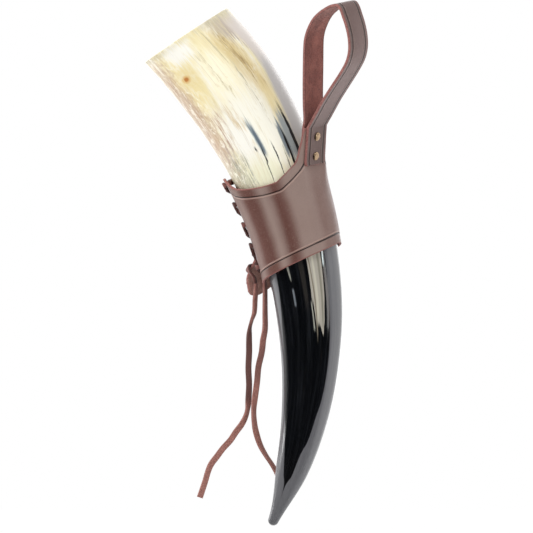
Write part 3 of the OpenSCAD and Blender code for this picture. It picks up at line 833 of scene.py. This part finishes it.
def horn_material():
    """Cream with painted streaks and marks, dark past a ragged line; on the dark part, grey
    bands of painted reflection at both sides and a few small painted highlights.
    """
    g = Graph("polished_horn")
    grain = g.attribute("grain", "Vector")
    x, y, z = g.parts(grain)
    station = g.times(z, GRAIN_STEP)

    def noise(along_horn, *settings):
        return g.stretched(grain, (1, 1, along_horn), *settings)
    streaks = noise(0.16, 9, 6, 0.62, 0.3)
    fine = noise(0.07, 40, 5, 0.66)
    lines = noise(0.045, 34, 3, 0.6, 0.15)
    pale_lines = noise(0.09, 30, 5, 0.7, 0.2)
    rough_lines = noise(0.2, 22, 5, 0.72, 0.4)
    veins = noise(0.12, 12, 6, 0.7)
    blotch = noise(0.5, 3.4, 5, 0.62, 0.9)
    mottle = noise(0.5, 13, 5, 0.7, 0.6)
    clouds = noise(0.75, 7, 6, 0.66, 1.2)
    scuffs = noise(1.3, 11, 5, 0.72, 0.5)
    scratches = noise(0.03, 90, 2, 0.5)
    offset = g.plus(y, g.plus(g.swing(fine, 0.07), g.swing(mottle, 0.07)))
    crisp = g.plus(y, g.swing(mottle, 0.03))
    soft_offset = g.plus(y, g.swing(mottle, 0.3))
    ragged = g.plus(station, g.swing(fine, 30))
    facing = g.map(x, -0.05, 0.12)

    cream = g.mix(g.map(blotch, 0.4, 0.6), (248, 244, 229), (238, 226, 178))
    cream = g.tint(cream, (230, 214, 164), mottle, 0.5, 0.66, 0, 0.6)
    cream = g.tint(cream, (214, 196, 150), streaks, 0.54, 0.74, 0, 0.4)
    cream = add_marks(g, cream, ragged, soft_offset, facing, SOFT_MARKS)
    cream = g.tint(cream, (248, 245, 231), clouds, 0.52, 0.68, 0, 0.55)
    cream = g.tint(cream, (216, 198, 152), clouds, 0.46, 0.34, 0, 0.3)
    broken = g.times(facing, g.map(rough_lines, 0.44, 0.6))
    cream = add_marks(g, cream, ragged, soft_offset, broken, BROKEN_MARKS)
    cream = g.tint(cream, (168, 150, 116), lines, 0.58, 0.7, 0, 0.3)
    cream = g.tint(cream, (249, 247, 236), pale_lines, 0.54, 0.7, 0, 0.45)
    left = g.times(g.map(y, -0.5, -0.9), g.map(scuffs, 0.5, 0.62, 0, 0.6))
    cream = g.mix(left, cream, (190, 160, 132))
    left = g.times(g.map(y, -0.3, -0.8), g.map(scuffs, 0.48, 0.38, 0, 0.7))
    cream = g.mix(left, cream, (250, 244, 230))
    back = g.times(g.map(x, -0.1, -0.75), g.map(streaks, 0.36, 0.6, 0.1, 0.8))
    cream = g.mix(back, cream, (188, 168, 132))
    cream = add_marks(g, cream, ragged, offset, facing, MARKS)
    for size, strength, paint in SPOT_RINGS:
        down = g.calc("DIVIDE", g.minus(station, SPOT[0]), size)
        beside = g.calc("DIVIDE", g.minus(offset, SPOT[1]), size / SPOT_REACH)
        spot = g.plus(g.calc("POWER", down, 2), g.calc("POWER", beside, 2))
        cream = g.mix(g.times(facing, g.map(spot, 0.15, 1.3, strength, 0)), cream, paint)
    rim = g.map(g.plus(station, g.times(mottle, 8)), 11, 5)
    corners = g.map(g.distance(y, -0.2), 0.3, 0.75, 0.3, 1)
    rim = g.times(g.times(rim, corners), g.map(scuffs, 0.35, 0.6, 0.25, 0.8))
    cream = g.mix(rim, cream, (192, 184, 158))

    dark = g.mix(g.map(veins, 0.45, 0.75), (5, 6, 9), (30, 32, 36))
    dark = g.tint(dark, (64, 58, 52), fine, 0.6, 0.8, 0, 0.35)
    dark = add_marks(g, dark, station, crisp, facing, PALE_MARKS)
    # Painted reflection: grey bands along the left and the right of the dark part
    painted_reflection = g.mix(g.map(veins, 0.3, 0.75), (101, 101, 104), (91, 91, 95))
    left = g.map(g.minus(boundary(g, station, LEFT_REFLECTION), crisp), *REFLECTION_EDGE)
    right = g.map(g.minus(crisp, boundary(g, station, RIGHT_REFLECTION)), *REFLECTION_EDGE)
    dark = g.mix(g.calc("MAXIMUM", left, right), dark, painted_reflection)
    tongues = g.plus(station, g.swing(streaks, 46))
    colour = g.mix(g.map(tongues, DARK_FROM, DARK_FULL), cream, dark)

    height = g.plus(g.times(fine, 0.5), g.times(scratches, 0.5))
    rough = g.plus(g.map(station, 150, 190, 0.32, 0.08),
                   g.times(g.map(mottle, 0.4, 0.8), 0.12))
    rough = g.plus(rough, g.map(station, 325, 365, 0, 0.25))
    bump = g.bump(height, g.map(station, 120, 200, 0.25, 0.03), 0.0004)
    return g.end(colour, rough, bump, IOR=1.5, Coat_Weight=0.25, Coat_Roughness=0.05)


def hollow_material():
    g = Graph("horn_inside")
    grain = g.attribute("grain", "Vector")
    streaks = g.stretched(grain, (1, 1, 0.2), 10, 5, 0.6, 0.3)
    rings = g.stretched(grain, (0.2, 0.2, 1), 30, 3, 0.6)
    pale = g.mix(streaks, (236, 218, 172), (190, 158, 106))
    deep = g.mix(streaks, (92, 72, 52), (44, 34, 28))
    colour = g.mix(g.map(g.parts(grain)[2], 0.5, 1.9), pale, deep)
    bump = g.bump(g.plus(streaks, g.times(rings, 0.6)), 0.4, 0.0006)
    return g.end(colour, g.map(rings, 0.3, 0.7, 0.42, 0.6), bump, IOR=1.5)


# From a tooled line's middle to the ridge that it pushes up
LINE_RIDGE = 1.35
NO_LINE = -50


def leather_material(name, base, light, line, rough=0.42, ridge_highlight=0.5, cut=0.92):
    """The grain side: pores, bands of painted sheen and shade, and a tooled line beside the
    edges.
    """
    g = Graph(name)
    spot = g.here()
    edge = g.attribute("edge")
    pores = g.add("TexVoronoi", {"Vector": spot, "Scale": 1500}, "Distance")
    creases = g.noise(spot, 420, 5, 0.62, 0.4)
    cloud = g.noise(spot, 34, 4, 0.6)
    fine = g.noise(spot, 1900, 2, 0.5)
    # On the sleeve the band attribute is painted sheen and shade; the cloud adds random tone
    tone_and_sheen = g.plus(g.attribute("band"), g.swing(cloud, 0.5))
    colour = g.tint(base, light, tone_and_sheen, 0, 1)
    colour = g.tint(colour, (40, 24, 22), pores, 0, 0.32, 0.35, 0)
    colour = g.tint(colour, (164, 138, 127), fine, 0.52, 0.72, 0, 0.32)
    # Tooled line: the groove is painted dark, partly the tooled leather's own darker colour and
    # partly painted shade; the ridge beside it is painted lighter, a painted highlight
    groove = g.map(g.distance(edge, line), 0.25, 0.85, 1, 0)
    ridge = g.map(g.distance(edge, line + LINE_RIDGE), 0.2, 0.75, 1, 0)
    colour = g.mix(g.times(ridge, ridge_highlight), colour, (178, 148, 136))
    colour = g.mix(g.times(groove, cut), colour, (30, 16, 15))
    colour = g.tint(colour, (132, 80, 73), edge, 1.1, 0.2, 0, 0.7)
    height = g.plus(g.times(pores, 0.6), g.times(creases, 0.9))
    height = g.plus(height, g.times(fine, 0.25))
    normal = g.bump(g.minus(g.times(ridge, 0.5), groove), 0.9, 0.0006,
                    Normal=g.bump(height, 0.16, 0.0003))
    return g.end(colour, g.plus(rough, g.swing(creases, 0.3)), normal,
                 IOR=1.42, Coat_Weight=0.04, Coat_Roughness=0.35)


def suede_material(name, base, light, dark):
    g = Graph(name)
    spot = g.here()
    nap = g.noise(spot, 1000, 4, 0.75)
    cloud = g.noise(spot, 90, 5, 0.65, 0.5)
    fibres = g.noise(spot, 520, 6, 0.8)
    colour = g.tint(base, light, cloud, 0.35, 0.68)
    colour = g.tint(colour, light, nap, 0.5, 0.68, 0, 0.75)
    colour = g.tint(colour, dark, nap, 0.5, 0.34, 0, 0.7)
    colour = g.tint(colour, dark, g.attribute("edge"), 1.6, 0.2, 0, 0.5)
    bump = g.bump(g.plus(nap, g.times(fibres, 0.8)), 0.7, 0.0004)
    return g.end(colour, g.map(fibres, 0.3, 0.7, 0.85, 0.97), bump,
                 IOR=1.4, Sheen_Weight=0.25, Sheen_Roughness=0.5)


SHADE_FADE = 0.006


def raw_material(name, base, light, dark, shade=None):
    """Cut or fleshy fibres; shade is a height range and how dark the side is there."""
    g = Graph(name)
    spot = g.here()
    fibres = g.noise(spot, 900, 6, 0.8, 0.4)
    cloud = g.noise(spot, 120, 3, 0.6)
    colour = g.tint(dark, light, fibres, 0.3, 0.72)
    colour = g.tint(colour, base, cloud, 0.35, 0.7, 0, 0.6)
    if shade:
        low, high, strength = shade
        z = g.parts(spot)[2]
        inside = g.times(g.map(z, low - SHADE_FADE, low + SHADE_FADE),
                         g.map(z, high + SHADE_FADE, high - SHADE_FADE))
        colour = g.mix(g.times(inside, strength), colour, (86, 58, 54))
    return g.end(colour, g.map(fibres, 0.3, 0.7, 0.8, 0.95), g.bump(fibres, 0.6, 0.0003),
                 IOR=1.4, Sheen_Weight=0.1)


def brass_material():
    g = Graph("brass")
    spot = g.here()
    tarnish = g.noise(spot, 700, 4, 0.6, 0.3)
    scratch = g.stretched(spot, (1, 6, 1), 1400, 2, 0.5)
    colour = g.tint((196, 168, 136), (138, 110, 86), tarnish, 0.4, 0.75)
    rough = g.plus(0.2, g.times(g.map(tarnish, 0.3, 0.8), 0.22))
    return g.end(colour, rough, g.bump(scratch, 0.25, 0.0001), Metallic=1)


# Camera, lights, floor and world

PHOTO_SIDE = 533
MM_PER_PIXEL = 0.75
MOUTH_PIXEL = (186.35, 35.1)
CAMERA_AWAY = 8
SENSOR = 36


def add_camera():
    data = bpy.data.cameras.new("camera")
    data.sensor_width = SENSOR
    data.lens = SENSOR * CAMERA_AWAY / (PHOTO_SIDE * MM_PER_PIXEL * MM)
    data.clip_start, data.clip_end = 0.1, 50
    camera = put_in_scene("camera", data)
    across, down = (PHOTO_SIDE / 2 - np.array(MOUTH_PIXEL)) * MM_PER_PIXEL
    x, y, z = place([across, 0, -down])
    camera.location = (x, y - CAMERA_AWAY, z)
    camera.rotation_euler = (math.pi / 2, 0, 0)
    bpy.context.scene.camera = camera


# Each lamp's name, place from its aim, size in metres, and watts
LAMPS = [("left_lamp", (-1.05, 0.3, 0.35), (0.35, 0.9), 7.5),
         ("right_lamp", (1, -0.42, 0.25), (0.16, 0.9), 1.3),
         ("top_lamp", (-0.25, -0.7, 1), (0.8, 0.5), 6.4),
         ("back_lamp", (0.2, 1.1, 0.3), (1.2, 1), 4)]
AIM = (-0.06, 0.05, -0.19)


def add_lamps():
    for name, at, size, watts in LAMPS:
        data = bpy.data.lights.new(name, "AREA")
        data.shape = "RECTANGLE"
        data.size, data.size_y = size
        data.energy = watts
        lamp = put_in_scene(name, data)
        lamp.location = Vector(AIM) + Vector(at)
        lamp.rotation_euler = (-Vector(at)).to_track_quat("-Z", "Y").to_euler()


WORLD_LIGHT = 0.74
# Reflections: dark in front to bright beside and behind, turned a little to the right
GLOSS_DARK = 0.02
GLOSS_LIGHT = 1
GLOSS_LEAN = 0.28
GLOSS_EDGE = (-0.05, 0.3)


def add_world():
    """White to the camera, even light, and a studio with a dark side for reflections."""
    g = Graph("studio", "worlds")
    bpy.context.scene.world = g.made

    def background(strength):
        return g.add("Background", {"Color": (255, 255, 255), "Strength": strength})
    x, y, _ = g.parts(g.add("TexCoord", {}, "Generated"))
    lean = g.calc("MULTIPLY_ADD", x, GLOSS_LEAN, y)
    gloss = background(g.map(lean, *GLOSS_EDGE, GLOSS_DARK, GLOSS_LIGHT))
    seen = g.add("LightPath", {}).node.outputs
    lit = g.add("MixShader", {0: seen["Is Glossy Ray"], 1: background(WORLD_LIGHT), 2: gloss})
    shown = g.add("MixShader", {0: seen["Is Camera Ray"], 1: lit, 2: background(1)})
    g.put(g.tree.nodes["World Output"].inputs["Surface"], shown)


FLOOR_HALF = 0.7
FLOOR_DROP = 0.004
FLOOR_GLOW = 0.94


def add_floor():
    g = Graph("floor")
    shader = g.tree.nodes["Principled BSDF"]
    shader.inputs["Base Color"].default_value = (0.92, 0.92, 0.92, 1)
    shader.inputs["Roughness"].default_value = 0.9
    glow = g.times(g.add("LightPath", {}, "Is Camera Ray"), FLOOR_GLOW)
    shown = g.add("MixShader", {0: glow, 1: shader.outputs[0], 2: g.add("Emission", {})})
    g.put(g.tree.nodes["Material Output"].inputs["Surface"], shown)
    low = cad_box[0][2] - FLOOR_DROP
    corners = [(AIM[0] + x * FLOOR_HALF, AIM[1] + y * FLOOR_HALF, low)
               for x, y in ((-1, -1), (1, -1), (1, 1), (-1, 1))]
    floor = new_mesh("floor", corners, [[0, 1, 2, 3]], [g.made])
    floor.visible_glossy = False


# Pieces

LACE_GRAIN = leather_material("lace_grain", (58, 34, 32), (86, 54, 50), NO_LINE, 0.5)
LACE_SHADES = {"left": (-0.297, -0.236, 0.85), "right": (-0.281, -0.255, 0.5)}
LACE_FLESH = {side: raw_material("lace_flesh_" + side, (152, 106, 97), (172, 122, 111),
                                 (114, 72, 65), shade)
              for side, shade in LACE_SHADES.items()}
LACE_DARK = raw_material("lace_dark", (78, 46, 42), (104, 66, 60), (46, 26, 24))
END_STEPS = 4
CROSSING_STEPS = 5


def add_free_end(side, start, route):
    name = "lace_end_" + side
    start = np.append(place(start) / MM, OUT_TURN)
    places = curve(np.vstack([start, route]), END_STEPS)
    points = places[:, :3]
    across = vec(cosd(places[:, 3]), sind(places[:, 3]), 0)
    piece = thong_mesh(name + "_thong", points, across, LACE_W,
                       [LACE_GRAIN, LACE_FLESH[side]], True)
    dress(piece, "holder", "lace_leather", name)
    length = run_length(points)[-1]


def add_crossings():
    places = curve(LACE_PATH, CROSSING_STEPS)
    piece = thong_mesh("lace_crossings_thong", places[:, :3], places[:, 3:6], places[:, 6],
                       [LACE_GRAIN, LACE_DARK])
    dress(piece, "holder", "lace_leather", "lace_crossings")


HORN_SIDES = 160
OUTER_RINGS = 230
INNER_RINGS = 110
INNER_CROWDING = 1.6
TIP_RINGS = 8
ROUND_STEPS = 5
# The skin's unevenness: depth, millimetres from each end to its full depth, and waves
UNEVEN = 0.16
UNEVEN_FROM = 8
UNEVEN_WAVES = [(3, 1.1, 0, 1), (7, -0.7, 0, 0.6), (13, 0.35, 0, 0.4)]


def horn_rings():
    """Station and radius of each ring, from the bottom of the hollow, over the rim, down."""
    shares = 1 - np.linspace(1, 0, INNER_RINGS, endpoint=False)
    depth = HOLLOW_LEN * (1 - shares ** INNER_CROWDING)
    rings = [(s, float(hollow_r(s))) for s in depth[1:]]
    outer, inner = MOUTH_D / 2, MOUTH_D / 2 - MOUTH_WALL
    turns = [90 * k / ROUND_STEPS for k in range(ROUND_STEPS + 1)]
    rings += [(RIM_ROUND * (1 - sind(t)), inner + RIM_ROUND * (1 - cosd(t))) for t in turns]
    inside = len(rings)
    rings += [(RIM_ROUND * (1 - cosd(t)), outer - RIM_ROUND * (1 - sind(t))) for t in turns]
    below = [TIP_START + TIP_R * sind(90 * k / (TIP_RINGS + 1))
             for k in range(1, TIP_RINGS + 1)]
    rings += [(s, float(horn_r(s)))
              for s in [*np.linspace(RIM_ROUND, TIP_START, OUTER_RINGS)[1:], *below]]
    return np.array(rings), inside


def add_horn():
    rings, inside = horn_rings()
    s, r = rings[:, 0], rings[:, 1]
    az = np.arange(HORN_SIDES) * 360 / HORN_SIDES
    s2, az2 = np.meshgrid(s, az, indexing="ij")
    wave = waves(UNEVEN_WAVES, az2, s2)
    outer = (np.arange(len(s)) > inside)[:, None]
    dip = UNEVEN * smooth(s2 / UNEVEN_FROM) * (wave + 1) / 2
    r2 = r[:, None] - dip * outer * smooth(r[:, None] / UNEVEN_FROM)
    points = (centre(s2) + col(r2) * away(az2, s2)
              + col(r2 * sind(az2) * np.tan(np.radians(cut_tilt(s2)))) * along(s2))
    points = np.vstack([points.reshape(-1, 3), centre(HOLLOW_LEN), centre(HORN_LEN)])
    kinds = [1] * HORN_SIDES * (inside + 1) + [0] * HORN_SIDES * (len(s) - inside)
    piece = new_mesh("horn_body", place(points), tube_faces(len(s), HORN_SIDES),
                     [horn_material(), hollow_material()], kinds, 70)
    grain = vec(cosd(az2), sind(az2), s2 / GRAIN_STEP).reshape(-1, 3)
    poles = [[0, 0, end / GRAIN_STEP] for end in (HOLLOW_LEN, HORN_LEN)]
    keep(piece, "grain", np.vstack([grain, poles]))
    dress(piece, "horn", "horn", "horn")


SLEEVE_LINE = 6.6
STRAP_LINE = 3.2
# The sleeve's lighter colour is the grey-mauve of its painted sheen
LEATHER_GRAIN = leather_material("sleeve_grain", (98, 61, 53), (143, 122, 114), SLEEVE_LINE)
STRAP_GRAIN = leather_material("strap_grain", (100, 79, 75), (126, 106, 103), STRAP_LINE,
                               0.42, 0.12, 0.75)
FLESH = suede_material("flesh", (128, 74, 65), (158, 98, 86), (88, 48, 43))
SLEEVE_FLESH = suede_material("sleeve_flesh", (172, 128, 116), (196, 156, 144),
                              (128, 88, 78))
RAW_EDGE = raw_material("raw_edge", (148, 96, 90), (176, 120, 113), (98, 57, 52))

SIDE_COLUMNS = 150
NEAR_COLUMNS = 26
NEAR_SHARE = 0.1
TAB_COLUMNS = 27
SHEET_ROWS = 110
FAR_EDGE = 50.0
# The sleeve's soft dents: depth, waves, and where they fade, by angle and by distance in
DENT = 0.45
DENT_WAVES = [(7, 0.6, 0, 1), (12.5, -0.9, 40, 0.7)]
DENT_FROM = 20
DENT_TO = 140
DENT_FADE = 12
DENT_EDGE = 1
DENT_EDGE_FADE = 9
# Its tooled groove, the flare outside it, and the angle where both begin
GROOVE = 0.28
GROOVE_W = 0.5
FLARE = 0.22
TOOLED_FROM = 18
TOOLED_FADE = 8
# Painted sheen and shade of the sleeve's leather, in bands round it: angle from the strap's
# middle, and share
SHEET_SHEEN_BANDS = [
    [-180, 0.4], [-150, 0.2], [-128, 0.3], [-116, 0.6], [-108, 0.35], [-100, -0.1],
    [-92, 0.05], [-84, 0.5], [-77, 0.95], [-69, 0.6], [-60, 0.02], [-52, 0.3], [-42, 0.9],
    [-30, 0.95], [-16, 0.8], [-6, 0.55], [25, 0.45], [50, 0.2], [75, 0.15], [105, 0.2],
    [140, 0.5], [200, 0.3]]


def sleeve_layout():
    """The sleeve's columns: a side, 0 on the tab, and a share of the way over that side."""
    near = np.linspace(0.004, NEAR_SHARE, NEAR_COLUMNS)
    far = np.linspace(NEAR_SHARE, 1, SIDE_COLUMNS - NEAR_COLUMNS + 1)[1:]
    shares = np.concatenate([near, far])
    side = np.repeat([-1.0, 0.0, 1.0], [len(shares), TAB_COLUMNS, len(shares)])
    share = np.concatenate([shares[::-1], np.linspace(-1, 1, TAB_COLUMNS), shares])
    return side[:, None], share[:, None]


def edge_distance(spots):
    """How far each spot of a grid is from its first and its last row of spots."""
    edge = np.full(spots.shape[:2], FAR_EDGE)
    for border in (spots[:, 0], spots[:, -1]):
        for line, found in zip(spots, edge):
            gap = np.linalg.norm(line[:, None] - border, axis=-1).min(-1)
            np.minimum(found, gap, out=found)
    return edge


def add_sleeve():
    side, share = sleeve_layout()

    def laced_angle(s):
        return np.where(side < 0, FRONT_ANGLE, back_angle(s))

    def column_angle(s):
        return np.where(side == 0, share * tab_angle(s),
                        side * mix(tab_angle(s), laced_angle(s), share))
    from_lacing = (1 - share) * np.radians(laced_angle(SLEEVE_TOP)) * horn_r(SLEEVE_TOP)
    cut = corner_cut(np.where(side == 0, 2 * CORNER_R, from_lacing))
    high = top_edge(np.where(side == 0, 0, share)) + cut
    low = bottom_edge(column_angle(SLEEVE_TOP + SLEEVE_H)) - cut
    s = mix(high, low, np.linspace(0, 1, SHEET_ROWS))
    a = column_angle(s)
    grid = sheet_point(a, s)
    edge = edge_distance(np.stack([np.radians(a) * horn_r(SLEEVE_TOP), s], -1))
    normal = -grid_normals(grid)
    off_tab = np.abs(a)
    fold = waves(DENT_WAVES, a, s)
    dented = (smooth((off_tab - DENT_FROM) / DENT_FADE)
              * smooth((edge - DENT_EDGE) / DENT_EDGE_FADE)
              * smooth((DENT_TO - off_tab) / DENT_FADE))
    grid = grid + col(DENT * dented * (0.5 + 0.5 * fold)) * normal
    groove = np.exp(-((edge - SLEEVE_LINE) / GROOVE_W) ** 2)
    flare = smooth((SLEEVE_LINE - edge) / SLEEVE_LINE)
    tooled = (FLARE * flare - GROOVE * groove) * smooth((off_tab - TOOLED_FROM) / TOOLED_FADE)
    grid = grid + col(tooled) * normal
    # Bands of painted sheen and shade round the sleeve
    band = np.interp(a, *np.array(SHEET_SHEEN_BANDS).T)
    piece = sheet_mesh("sleeve_leather", grid, -1, LEATHER_T,
                       [LEATHER_GRAIN, SLEEVE_FLESH, RAW_EDGE], {"edge": edge, "band": band})
    cut_holes(piece)
    dress(piece, "holder", "sleeve_leather", "sleeve")


HOLE_SIDES = 40
HOLE_DEPTH = 4


def cut_holes(piece):
    """Cuts the lace holes out of the sleeve with one cutter."""
    t = np.arange(HOLE_SIDES)[:, None] * 360 / HOLE_SIDES
    points, faces = [], []
    for side in (-1, 1):
        for s in ROW_STATIONS:
            a, base = hole_angle(side, s), len(points) * HOLE_SIDES
            mid, axis = leather(side, a, s), HOLE_DEPTH * away(STRAP_AZ + a, s)
            rim = LACE_HOLE_D / 2 * (cosd(t) * along(s) + sind(t) * round_it(STRAP_AZ + a, s))
            points += [mid - axis + rim, mid + axis + rim]
            near = list(range(base, base + HOLE_SIDES))
            far = list(range(base + HOLE_SIDES, base + 2 * HOLE_SIDES))
            faces += zip(near, near[1:] + near[:1], far[1:] + far[:1], far)
            faces += [near[::-1], far]
    cutter = new_mesh("hole_cutter", place(np.vstack(points)), faces, [RAW_EDGE])
    change = piece.modifiers.new("holes", "BOOLEAN")
    change.object = cutter
    change.operation = "DIFFERENCE"
    change.solver = "EXACT"
    made = bpy.data.meshes.new_from_object(
        piece.evaluated_get(bpy.context.evaluated_depsgraph_get()))
    piece.modifiers.clear()
    piece.data = made
    bpy.data.objects.remove(cutter)


STRAP_COLUMNS = 26
STRAP_ROWS = 420
# Its columns near an edge and the last inner one, as shares of half its width
STRAP_BORDER = np.array([1, 0.985, 0.96, 0.92])
STRAP_INNER = 0.86
LEG_STEPS = 14
LOOP_STEPS = 9
END_CORNER = 1.6
# Its ripple, which fades out along each clamped leg, its tone, and its groove
STRAP_RIPPLE = 0.35
STRAP_WAVES = [(3.1, 4, 0, 1)]
STRAP_TONES = [(2.2, 2, 0, 1)]
STRAP_CLAMPED = 45
STRAP_FADE = 40
STRAP_GROOVE = 0.1
STRAP_GROOVE_IN = 2.6
STRAP_GROOVE_W = 0.4


def strap_line():
    """The strap's middle line in side view, as distance out and height on the tab."""
    tab_top = wrap_point(0.0, np.array(SLEEVE_TOP - TAB_RISE, float), LEATHER_T / 2)
    top = dot(tab_top - TAB_ORIGIN, SHEET_UP) + STRAP_FLAT

    def leg_line(start, end, n):
        return layer(np.linspace(start, end, LEG_STEPS + 1), n)
    start = np.array([tab_d(RIVET_HIGH_H), RIVET_HIGH_H])
    loop = start + np.array(LOOP_SHARES) * [LOOP_REACH, LOOP_H]
    loop = np.vstack([layer(top, -1), loop, layer(top, 1)])
    return np.vstack([leg_line(RIVET_LOW_H - STRAP_END_IN, top, -1)[:-1],
                      curve(loop, LOOP_STEPS),
                      leg_line(top, RIVET_LOW_H - STRAP_END, 1)[1:]])


def add_strap():
    line = strap_line()
    length = run_length(line)
    even = np.linspace(0, length[-1], STRAP_ROWS)[:, None]
    line = np.stack([np.interp(even, length, line[:, k]) for k in range(2)], 1)
    to_end = np.minimum(even, even[-1] - even)
    inner = np.linspace(-STRAP_INNER, STRAP_INNER, STRAP_COLUMNS)
    across = np.concatenate([-STRAP_BORDER, inner, STRAP_BORDER[::-1]])
    w = across * (STRAP_W / 2 - corner_cut(to_end, END_CORNER))
    grid = tab_point(line[:, 0], line[:, 1], w)
    edge = STRAP_W / 2 - np.abs(w)
    free = smooth((to_end - STRAP_CLAMPED) / STRAP_FADE)
    ripple = STRAP_RIPPLE * free * waves(STRAP_WAVES, even, w)
    groove = np.exp(-((edge - STRAP_GROOVE_IN) / STRAP_GROOVE_W) ** 2)
    grid = grid + col(ripple) * grid_normals(grid)
    band = 0.5 + 0.5 * waves(STRAP_TONES, even, w)
    piece = sheet_mesh("strap_leather", grid, 1, LEATHER_T - STRAP_GROOVE * groove,
                       [STRAP_GRAIN, FLESH, RAW_EDGE], {"edge": edge, "band": band})
    dress(piece, "holder", "strap_leather", "belt_strap")


CAP_SIDES = 56
CAP_RINGS = 14
CAP_TOP = 86
CAP_FOOT = [(0.5, 0.1), (0.9, 0.0)]
CAP_SIDE = 0.22


def add_rivet_caps():
    """Domed caps: rings as shares of the cap's radius and height, closed by two poles."""
    brass = brass_material()
    rings = CAP_FOOT + [(cosd(t) ** 0.75, CAP_SIDE + (1 - CAP_SIDE) * sind(t))
                        for t in np.linspace(0, CAP_TOP, CAP_RINGS)]
    t = np.arange(CAP_SIDES)[:, None] * 360 / CAP_SIDES
    spokes = CAP_D / 2 * (cosd(t) * TAB_ACROSS + sind(t) * TAB_UP)
    faces = [face[::-1] for face in tube_faces(len(rings), CAP_SIDES)]
    for rivet, h in (("rivet_upper", RIVET_HIGH_H), ("rivet_lower", RIVET_LOW_H)):
        middle = tab_point(tab_d(h), h) + STACK * TAB_NORMAL
        points = [middle + r * spokes + CAP_H * z * TAB_NORMAL for r, z in rings]
        points += [middle + CAP_H * z * TAB_NORMAL for z in (0.2, 1)]
        piece = new_mesh(rivet + "_cap_dome", place(np.vstack(points)), faces, [brass],
                         sharp=45)
        dress(piece, "holder", "brass", rivet + "_cap")
        post = frame["nodes"][rivet + "_post"].data.materials
        post.clear()
        post.append(brass)


add_camera()
add_free_end("left", LACE_PATH[-1, :3], LEFT_ROUTE)
add_free_end("right", LACE_PATH[0, :3], RIGHT_ROUTE)
add_crossings()
add_horn()
add_sleeve()
add_strap()
add_rivet_caps()
add_lamps()
add_world()
add_floor()

bpy.context.scene.view_settings.view_transform = "Standard"
